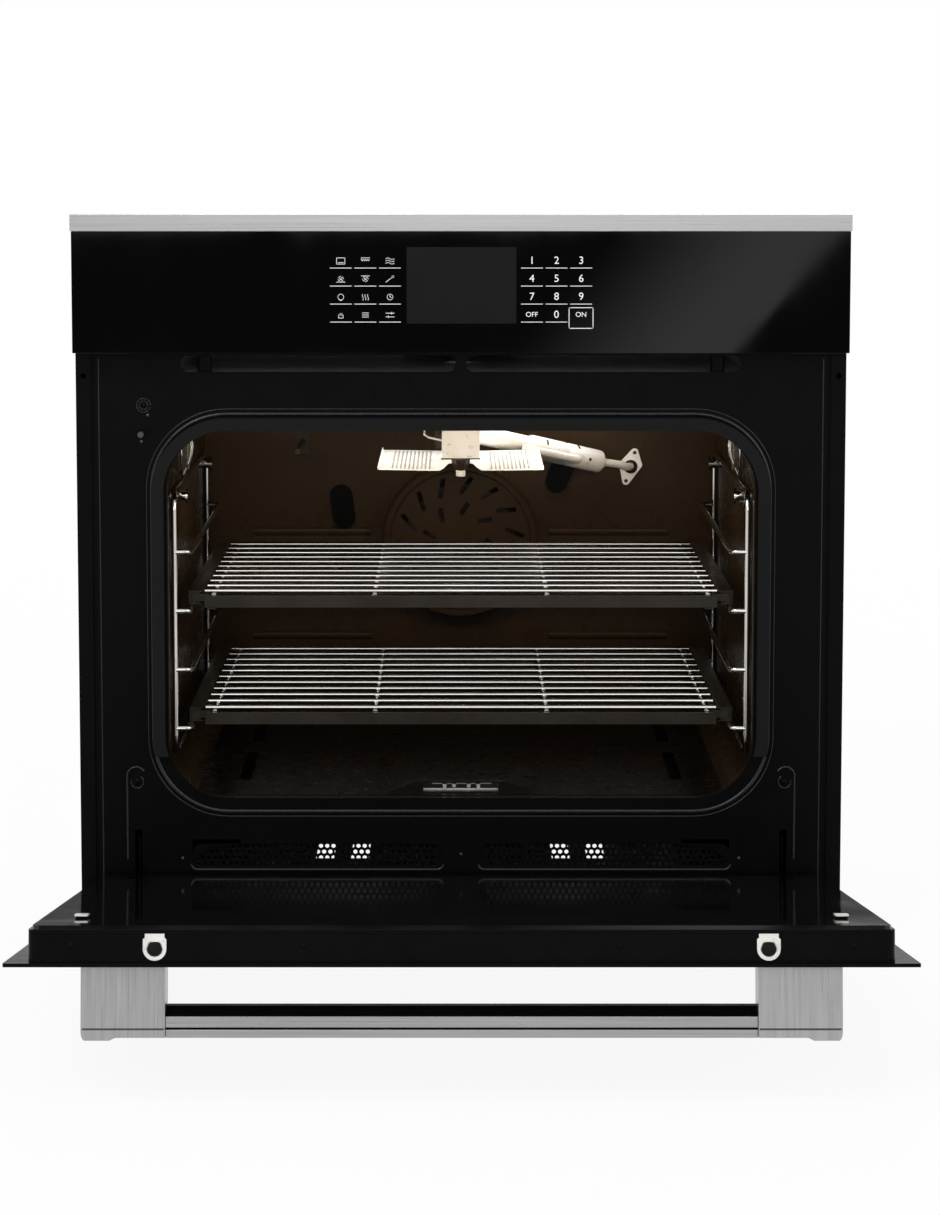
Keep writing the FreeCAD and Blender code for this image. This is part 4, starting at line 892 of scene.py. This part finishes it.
def build_screen():
    """The broil burner's screen: sheet with rows of punched holes in each wing and a turned-up edge."""
    bm = bmesh.new()
    front, back, pitch, gauge = -0.1168, 0.0978, 0.0043, 0.0008
    columns = round(0.172 / pitch)
    rows = round((back - front) / pitch)
    step_x, step_y = 0.172 / columns, (back - front) / rows
    for column in range(columns):
        x = -0.086 + (column + 0.5) * step_x
        punched = 0.03 < abs(x) < 0.071
        for row in range(rows):
            y = front + (row + 0.5) * step_y
            corners = [(x + a * step_x / 2, y + b * step_y / 2) for a, b in ((-1, -1), (1, -1), (1, 1), (-1, 1))]
            square = [bm.verts.new((u, v, screen_height(u) + gauge)) for u, v in corners]
            if not punched or not 1 < row < rows - 2:
                bm.faces.new(square)
                continue
            hole = [bm.verts.new((x + 0.0013 * math.cos(t), y + 0.0013 * math.sin(t), screen_height(x) + gauge))
                    for t in (math.radians(-135 + 45 * k) for k in range(8))]
            for k in range(4):
                bm.faces.new((square[k], square[(k + 1) % 4], hole[(2 * k + 2) % 8], hole[2 * k + 1], hole[2 * k]))
    bmesh.ops.remove_doubles(bm, verts=bm.verts, dist=0.00005)
    bmesh.ops.recalc_face_normals(bm, faces=bm.faces)
    flat = list(bm.faces)
    made = bmesh.ops.extrude_face_region(bm, geom=flat)
    for vert in (v for v in made["geom"] if isinstance(v, bmesh.types.BMVert)):
        vert.co.z -= gauge
    bm.normal_update()
    for face in bm.faces:
        middle = face.calc_center_median()
        # The walls of the punched holes take the dark rail steel: painted shade inside the holes.
        upright = abs(face.normal.z) < 0.3
        if upright and 0.028 < abs(middle.x) < 0.073 and front + pitch < middle.y < back - pitch:
            face.material_index = 1
    for side in (-1, 1):
        add_box(bm, (side * 0.0853 - 0.0006, front, 0.4595), (side * 0.0853 + 0.0006, back, 0.4625), 0.0002)
    screen = mesh_piece("broil_screen_punched", bm, "chassis", ["burner_steel", "rail_steel"], 30)
    # The screen takes the paler sheet, partly painted light.
    screen.data.materials[0] = BRIGHT_SHEET
    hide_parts("broil_screen")
    return screen


def build_burner_details():
    """Rivet, spark wire, clamp screws and heat shield lip on the broil burner."""
    bm = bmesh.new()
    add_screw(bm, lambda u, v, w: (0.0105 + u, -0.1222 - w, 0.4835 + v), 0.0016, 0.0009)
    add_box(bm, (-0.0203, -0.1238, 0.4704), (0.0203, -0.1196, 0.4716), 0.0002, 1)
    wire = [(-0.0195, -0.11, 0.489), (-0.033, -0.11, 0.492), (-0.0375, -0.11, 0.495), (-0.0375, -0.11, 0.4995),
            (-0.033, -0.11, 0.5015), (-0.0195, -0.11, 0.5)]
    add_tube(bm, wire, 0.001, 8)
    return mesh_piece("burner_fittings", bm, "chassis", ["burner_steel", "rail_steel"], 40)


def build_burner():
    """The broil burner: tube and strap, a barrel with its shutter sleeve, a bent neck and a pointed flange."""
    bm = bmesh.new()
    low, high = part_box("broil_burner")
    level, start, end = 0.482, -0.117, 0.108
    flange = Vector((high.x - 0.013, BACK_WALL - 0.003, low.z + 0.0005))
    flange.z = 0.432
    elbow = Vector((0, end - 0.02, level))
    mouth = flange + Vector((-0.041, -0.025, 0.009))
    along = (mouth - elbow).normalized()
    side = along.cross(Vector((0, 0, 1))).normalized()
    up = side.cross(along)
    length = (mouth - elbow).length

    def on_barrel(u, v, w):
        return elbow + side * u + up * v + along * w

    add_lathe(bm, [(0, 0), (0.0135, 0), (0.014, 0.0006), (0.014, end - start - 0.0006), (0.0135, end - start),
                   (0, end - start)], lambda u, v, w: (u, start + w, level + v), 32)
    add_box(bm, (-0.0195, start - 0.005, 0.4712), (0.0195, start - 0.003, high.z), 0.0006)
    add_box(bm, (-0.006, start - 0.0032, level - 0.006), (0.006, start + 0.001, level + 0.006), 0.0003)
    add_box(bm, (-0.012, end - 0.03, level), (0.012, end - 0.028, high.z), 0.0003)
    nut = [(0, -0.006), (0.0042, -0.0062), (0.0048, -0.0054), (0.0048, 0), (0.0066, 0.0006), (0.0092, 0.0085),
           (0.0098, 0.0105), (0.0098, 0.0118), (0, 0.012)]
    add_lathe(bm, nut[:4] + [(0, 0.0002)], lambda u, v, w: (u, start - 0.004 + v, 0.459 + w), 24)
    add_lathe(bm, [(0, 0)] + nut[4:], lambda u, v, w: (u, start - 0.004 + v, 0.459 + w), 6, 1)
    add_lathe(bm, [(0, -0.006), (0.0102, -0.006), (0.0106, 0), (0.0106, length), (0, length)], on_barrel, 32)
    sleeve = [(0.0107, 0.5), (0.0124, 0.505), (0.0128, 0.52), (0.0128, 0.75), (0.0123, 0.757), (0.0123, 0.775),
              (0.0128, 0.782), (0.0128, 1.015), (0.0122, 1.03), (0.008, 1.032), (0, 1.032)]
    add_lathe(bm, [(radius, share * length) for radius, share in sleeve], on_barrel, 36)
    for share, turn in ((0.6, 40), (0.84, 60)):
        slot = [on_barrel(0.0129 * math.cos(math.radians(turn + step)), 0.0129 * math.sin(math.radians(turn + step)),
                          length * share) for step in (-14, -7, 0, 7, 14)]
        add_tube(bm, slot, 0.0011, 8, index=1)
    add_screw(bm, lambda u, v, w: on_barrel(0.0122 + w, u, length * 0.92 + v), 0.0018, 0.0014, 1)
    start_neck = mouth + along * 0.004
    bend = flange + Vector((-0.012, -0.013, 0.0035))
    neck = [start_neck, start_neck.lerp(bend, 0.4), start_neck.lerp(bend, 0.75), bend.lerp(flange, 0.05),
            bend.lerp(flange, 0.45) + Vector((0, -0.002, -0.0012)), flange]
    add_tube(bm, neck, 0.0044, 16)
    add_lathe(bm, [(0, 0), (0.0062, 0), (0.0066, 0.0008), (0.0066, 0.005), (0.0062, 0.0058), (0, 0.0058)],
              lambda u, v, w: on_barrel(u, v, length * 1.03 + w), 6)
    add_lathe(bm, [(0.0052, 0.003), (0.0078, 0.003), (0.0076, 0.0042), (0.0056, 0.0046), (0.0052, 0.003)],
              lambda u, v, w: (flange.x + u, BACK_WALL - w, flange.z + v), 24, 1)
    corners = [((0.0088, 0.002), 0.0042, -48, 32), ((0.0045, 0.016), 0.0045, 32, 138),
               ((-0.0088, 0.002), 0.0042, 138, 212), ((-0.0052, -0.0162), 0.0045, 212, 312)]
    outline = [(flange.x + x, flange.z + z) for middle, radius, first, last in corners
               for x, z in arc(middle, radius, first, last, 8)]
    round_edges(bm, add_prism(bm, outline, on_front(BACK_WALL), 0, 0.003), 0.0005, 1)
    for x, z in ((0.0045, 0.0158), (-0.0052, -0.016)):
        add_lathe(bm, [(0.0021, 0.003), (0.002, 0.0033), (0, 0.0033)],
                  lambda u, v, w, x=x, z=z: (flange.x + x + u, BACK_WALL - w, flange.z + z + v), 16, 1)
    finger = [(0.07, 0.09, 0.4625), (0.1, 0.108, 0.4545), (0.13, 0.128, 0.4465)]
    add_tube(bm, finger, 0.0044, 14)
    add_lathe(bm, [(0.0044, 0), (0.0035, 0.0027), (0.002, 0.004), (0, 0.0044)],
              lambda u, v, w: Vector(finger[2]) + side * u + up * v + along * w, 14)
    burner = mesh_piece("broil_burner_barrel", bm, "chassis", ["burner_steel", "rail_steel"], 35)
    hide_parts("broil_burner")
    return burner


def build_back_wall():
    """Pressed bands on the back wall, and hoods over its two air louvres, in black that paints the shade of the
    louvres' recesses.
    """
    bm = bmesh.new()
    place = on_front(BACK_WALL)
    for z in (0.358, 0.2395):
        for side in (-1, 1):
            add_bead(bm, [(side * 0.1, z), (side * 0.16, z), (side * 0.235, z)], place, 0.009, 0.0016)
    for x, z, turn in ((-0.133, 0.387, 8), (0.113, 0.427, -20)):
        hood = []
        for u, v in rounded(-0.0125, 0.0125, -0.0245, 0.0245, 0.0122, 8):
            angle = math.radians(turn)
            hood.append((x + u * math.cos(angle) - v * math.sin(angle),
                         z + u * math.sin(angle) + v * math.cos(angle)))
        # The hoods are black enamel: painted shade of the louvre recesses.
        faces = add_prism(bm, hood, place, 0, 0.0055, 1)
        round_edges(bm, faces, 0.002, 3)
    low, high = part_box("fan_cover")
    middle = ((low.x + high.x) / 2, (low.z + high.z) / 2)
    for share in (0.985, 0.9):
        ring = arc(middle, (high.x - low.x) / 2 * share, 0, 354, 59)
        add_bead(bm, ring, on_front(low.y), 0.0022, 0.0012, closed=True)
    return mesh_piece("back_wall_pressings", bm, "chassis", ["cavity_enamel", "enamel_black"], 45)


def build_floor_comb():
    """The bright flame comb that shows in the floor hood's window."""
    bm = bmesh.new()
    for x0, x1 in ((-0.0287, -0.0185), (-0.0135, -0.0095), (-0.0045, 0.0055), (0.0105, 0.0145), (0.0195, 0.0305)):
        add_box(bm, (x0, -0.2655, 0.1585), (x1, -0.2645, 0.1602), 0.0002)
    for x, low in ((-0.0162, 0.1538), (-0.0068, 0.1552), (0.0079, 0.1552), (0.0175, 0.1538)):
        outline = [(x - 0.0021, 0.1585), (x + 0.0021, 0.1585), (x + 0.0015, low), (x - 0.0015, low)]
        add_prism(bm, outline, lambda u, v, w: (u, w, v), -0.2662, -0.265)
    add_box(bm, (-0.0375, -0.264, 0.1515), (0.0375, -0.2632, 0.154), 0.0002)
    return mesh_piece("flame_comb", bm, "chassis", ["burner_steel"])


def build_lamp_guards():
    """Wire guards in front of the two side lamps."""
    bm = bmesh.new()
    low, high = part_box("lamp_lenses")
    middle_y, middle_z = (low.y + high.y) / 2, (low.z + high.z) / 2
    wall = 0.288
    for side in (-1, 1):
        for step in (-1, 0, 1):
            bow = [(side * (wall - 0.004 - 0.008 * math.sin(math.pi * k / 12)), middle_y + 0.011 * step,
                    middle_z - 0.027 + 0.054 * k / 12) for k in range(13)]
            add_tube(bm, bow, 0.001, 8)
        rim = [(side * (wall - 0.0035), middle_y + 0.027 * math.cos(t), middle_z + 0.027 * math.sin(t))
               for t in (math.tau * k / 32 for k in range(32))]
        add_tube(bm, rim, 0.0013, 8, closed=True)
    return mesh_piece("lamp_guards", bm, "chassis", ["chrome_wire"], 60)


# ---------------------------------------------------------------- casing

def build_casing():
    """Stiffening ribs and sheet screws on the sides, back and top of the casing."""
    side_low, side_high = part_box("side_panels")
    rear_low, rear_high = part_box("rear_panel")
    top_low, top_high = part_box("top_cover")
    ribs = bmesh.new()
    screws = bmesh.new()
    for side in (-1, 1):
        wall = side_high.x

        def place(u, v, w, side=side):
            return (side * (wall + w), u, v)

        for z in (0.14, 0.33, 0.52):
            add_bead(ribs, [(side_low.y + 0.05, z), (0, z), (side_high.y - 0.04, z)], place, 0.014, 0.003)
        for z in (0.05, 0.24, 0.43, 0.62):
            for y in (side_low.y + 0.018, side_high.y - 0.016):
                add_screw(screws, lambda u, v, w, y=y, z=z, side=side: (side * (wall + w), y + u, z + v),
                          0.0034, 0.0022)

    def behind(u, v, w):
        return (u, rear_high.y + w, v)

    outer = rounded(rear_low.x + 0.045, rear_high.x - 0.15, 0.12, 0.57, 0.03, 6)
    add_bead(ribs, outer, behind, 0.012, 0.0028, closed=True)
    for z in (0.2, 0.29, 0.38, 0.47):
        add_bead(ribs, [(rear_low.x + 0.09, z), (-0.06, z), (rear_high.x - 0.21, z)], behind, 0.01, 0.0024)

    def above(u, v, w):
        return (u, v, top_high.z + w)

    for x in (-0.24, -0.12, 0, 0.12, 0.24):
        add_bead(ribs, [(x, top_low.y + 0.23), (x, 0.1), (x, top_high.y - 0.05)], above, 0.014, 0.003)
    for x in (-0.33, -0.11, 0.11, 0.33):
        for y in (top_low.y + 0.02, top_high.y - 0.02):
            add_screw(screws, lambda u, v, w, x=x, y=y: (x + u, y + v, top_high.z + w), 0.0034, 0.0022)
    mesh_piece("casing_ribs", ribs, "chassis", ["galvanised"], 50)
    mesh_piece("casing_screws", screws, "chassis", ["zinc_steel"], 40)


# ---------------------------------------------------------------- camera, light and stage

def build_camera():
    data = bpy.data.cameras.new("camera")
    data.sensor_width = 36
    data.lens = 98.25
    data.shift_x = 0.011
    data.shift_y = -0.10
    camera = bpy.data.objects.new("camera", data)
    camera.location = (-0.0042, -3.530, 0.7998)
    camera.rotation_euler = (math.radians(90 - 5.98), 0, 0)
    bpy.context.scene.collection.objects.link(camera)
    bpy.context.scene.camera = camera


def area_light(name, place, target, size, power, colour=(1, 1, 1)):
    data = bpy.data.lights.new(name, "AREA")
    data.shape = "RECTANGLE"
    data.size, data.size_y = size
    data.energy = power
    data.color = colour
    light = bpy.data.objects.new(name, data)
    light.location = place
    light.rotation_euler = (Vector(target) - Vector(place)).to_track_quat("-Z", "Y").to_euler()
    bpy.context.scene.collection.objects.link(light)
    return light


def build_lights():
    middle = (0, 0, 0.35)
    area_light("key", (-1.6, -2.6, 2.6), middle, (1.6, 1.6), 60)
    area_light("fill", (2.2, -2.2, 1.6), middle, (1.6, 1.6), 24)
    area_light("front", (0, -3.2, 1.1), (0, 0, 0.4), (1.4, 0.7), 8)
    area_light("rim", (0.3, 2.6, 2.4), middle, (2.0, 1.2), 45)


def build_cavity_lights():
    """Warm light of the two oven lamps, as it falls on the burner and the back wall."""
    for side in (-1, 1):
        name = "left" if side < 0 else "right"
        area_light("oven_lamp_" + name, (side * 0.2, -0.2, 0.527), (side * 0.02, 0.15, 0.44),
                   (0.12, 0.04), 1.25, (1.0, 0.8, 0.58)).visible_glossy = False
        area_light("burner_glow_" + name, (side * 0.055, -0.01, 0.531), (side * 0.055, -0.01, 0.4),
                   (0.06, 0.18), 0.2, (1.0, 0.97, 0.92)).visible_glossy = False
    area_light("burner_glow_back", (0.1, 0.12, 0.531), (0.1, 0.12, 0.4), (0.14, 0.06), 0.26,
               (1.0, 0.97, 0.92)).visible_glossy = False


def build_reflected_card():
    """A studio card that only mirrors see: a soft white patch with a slanting edge on the panel's right."""
    material = bpy.data.materials.new("stage_card")
    material.use_nodes = True
    tree = material.node_tree
    tree.nodes.clear()
    place = tree.nodes.new("ShaderNodeTexCoord").outputs["Object"]
    slant = tree.nodes.new("ShaderNodeVectorMath")
    slant.operation = "DOT_PRODUCT"
    slant.inputs[1].default_value = (1, 0, -0.874)
    tree.links.new(place, slant.inputs[0])
    light = None
    for start, end, low, high in ((-0.24, 0.17, 0.03, 1.0), (0.24, 0.262, 1.0, 0.03)):
        ramp = tree.nodes.new("ShaderNodeMapRange")
        ramp.interpolation_type = "SMOOTHSTEP"
        for socket, value in {"From Min": start, "From Max": end, "To Min": low, "To Max": high}.items():
            ramp.inputs[socket].default_value = value
        tree.links.new(slant.outputs["Value"], ramp.inputs["Value"])
        if light is None:
            light = ramp.outputs["Result"]
            continue
        both = tree.nodes.new("ShaderNodeMath")
        both.operation = "MULTIPLY"
        tree.links.new(light, both.inputs[0])
        tree.links.new(ramp.outputs["Result"], both.inputs[1])
        light = both.outputs[0]
    glow = tree.nodes.new("ShaderNodeEmission")
    out = tree.nodes.new("ShaderNodeOutputMaterial")
    tree.links.new(light, glow.inputs["Strength"])
    tree.links.new(glow.outputs[0], out.inputs["Surface"])
    bm = bmesh.new()
    corners = [(-1.4, 0.30), (1.4, 0.30), (1.4, 0.614), (-1.4, 0.614)]
    bm.faces.new([bm.verts.new((x, -3.9, z)) for x, z in corners])
    mesh = bpy.data.meshes.new("stage_card")
    bm.to_mesh(mesh)
    bm.free()
    mesh.materials.append(material)
    card = bpy.data.objects.new("stage_card", mesh)
    for rays in ("camera", "diffuse", "transmission", "volume_scatter", "shadow"):
        setattr(card, "visible_" + rays, False)
    bpy.context.scene.collection.objects.link(card)


def build_flags():
    """Grey flags low down behind the oven, one each side, which only mirrors see: they calm the door's edges."""
    material = bpy.data.materials.new("stage_flag")
    material.use_nodes = True
    tree = material.node_tree
    tree.nodes.clear()
    glow = tree.nodes.new("ShaderNodeEmission")
    glow.inputs["Strength"].default_value = 0.08
    out = tree.nodes.new("ShaderNodeOutputMaterial")
    tree.links.new(glow.outputs[0], out.inputs["Surface"])
    bm = bmesh.new()
    for side in (-1, 1):
        corners = [(0.43, 0), (0.66, 0), (0.66, 0.1), (0.43, 0.1)]
        bm.faces.new([bm.verts.new((side * x, 0.5, z)) for x, z in corners])
    mesh = bpy.data.meshes.new("stage_flags")
    bm.to_mesh(mesh)
    bm.free()
    mesh.materials.append(material)
    flags = bpy.data.objects.new("stage_flags", mesh)
    for rays in ("camera", "diffuse", "transmission", "volume_scatter", "shadow"):
        setattr(flags, "visible_" + rays, False)
    bpy.context.scene.collection.objects.link(flags)


def seen_rays(tree):
    """A socket that is 1 on camera, glossy and transmission rays, and 0 on the rest."""
    path = tree.nodes.new("ShaderNodeLightPath")
    seen = path.outputs["Is Camera Ray"]
    for name in ("Is Glossy Ray", "Is Transmission Ray"):
        add = tree.nodes.new("ShaderNodeMath")
        add.operation = "MAXIMUM"
        tree.links.new(seen, add.inputs[0])
        tree.links.new(path.outputs[name], add.inputs[1])
        seen = add.outputs[0]
    return seen


def build_world():
    """White where the camera or a mirror sees it, and plain soft light elsewhere."""
    world = bpy.data.worlds.new("studio")
    world.use_nodes = True
    tree = world.node_tree
    tree.nodes.clear()
    seen = seen_rays(tree)
    soft = tree.nodes.new("ShaderNodeBackground")
    soft.inputs["Color"].default_value = (1, 1, 1, 1)
    soft.inputs["Strength"].default_value = 0.45
    white = tree.nodes.new("ShaderNodeBackground")
    white.inputs["Color"].default_value = (1, 1, 1, 1)
    white.inputs["Strength"].default_value = 1.0
    mix = tree.nodes.new("ShaderNodeMixShader")
    out = tree.nodes.new("ShaderNodeOutputWorld")
    tree.links.new(seen, mix.inputs[0])
    tree.links.new(soft.outputs[0], mix.inputs[1])
    tree.links.new(white.outputs[0], mix.inputs[2])
    tree.links.new(mix.outputs[0], out.inputs["Surface"])
    bpy.context.scene.world = world


def floor_finish():
    """Pale matte paint that keeps the object's shadow and goes white further off, as a sweep does."""
    material = bpy.data.materials.new("stage_floor")
    material.use_nodes = True
    tree = material.node_tree
    paint = tree.nodes["Principled BSDF"]
    paint.inputs["Base Color"].default_value = (0.86, 0.86, 0.86, 1)
    paint.inputs["Roughness"].default_value = 0.9
    paint.inputs["Specular IOR Level"].default_value = 0.1
    place = tree.nodes.new("ShaderNodeTexCoord").outputs["Object"]
    middle = tree.nodes.new("ShaderNodeVectorMath")
    middle.operation = "LENGTH"
    tree.links.new(place, middle.inputs[0])
    fade = tree.nodes.new("ShaderNodeMapRange")
    for socket, value in {"From Min": 0.8, "From Max": 3.0, "To Min": 0.92, "To Max": 1.0}.items():
        fade.inputs[socket].default_value = value
    tree.links.new(middle.outputs["Value"], fade.inputs["Value"])
    seen = seen_rays(tree)
    share = tree.nodes.new("ShaderNodeMath")
    share.operation = "MULTIPLY"
    tree.links.new(fade.outputs["Result"], share.inputs[0])
    tree.links.new(seen, share.inputs[1])
    white = tree.nodes.new("ShaderNodeEmission")
    white.inputs["Color"].default_value = (1, 1, 1, 1)
    white.inputs["Strength"].default_value = 1.0
    mix = tree.nodes.new("ShaderNodeMixShader")
    tree.links.new(share.outputs[0], mix.inputs[0])
    tree.links.new(paint.outputs[0], mix.inputs[1])
    tree.links.new(white.outputs[0], mix.inputs[2])
    tree.links.new(mix.outputs[0], tree.nodes["Material Output"].inputs["Surface"])
    return material


def build_floor():
    bpy.ops.mesh.primitive_plane_add(size=60, location=(0, 0, cad_box[0].z - 0.0005))
    floor = bpy.context.object
    floor.name = "stage_floor"
    floor.data.materials.append(floor_finish())


# ---------------------------------------------------------------- run

dress_cad_nodes()
build_frame_beads()
build_frame_fittings()
build_intake_tapers()
build_vent_posts()
build_legends()
build_display()
build_handle_bar()
build_handle_posts()
build_outer_glass()
build_bumpers()
build_glass_clips()
build_hole_plugs()
build_door_trim()
build_screen()
build_burner_details()
build_burner()
build_back_wall()
build_floor_comb()
build_lamp_guards()
build_casing()
build_camera()
build_lights()
build_cavity_lights()
build_reflected_card()
build_flags()
build_world()
build_floor()
bpy.context.scene.view_settings.view_transform = "Standard"
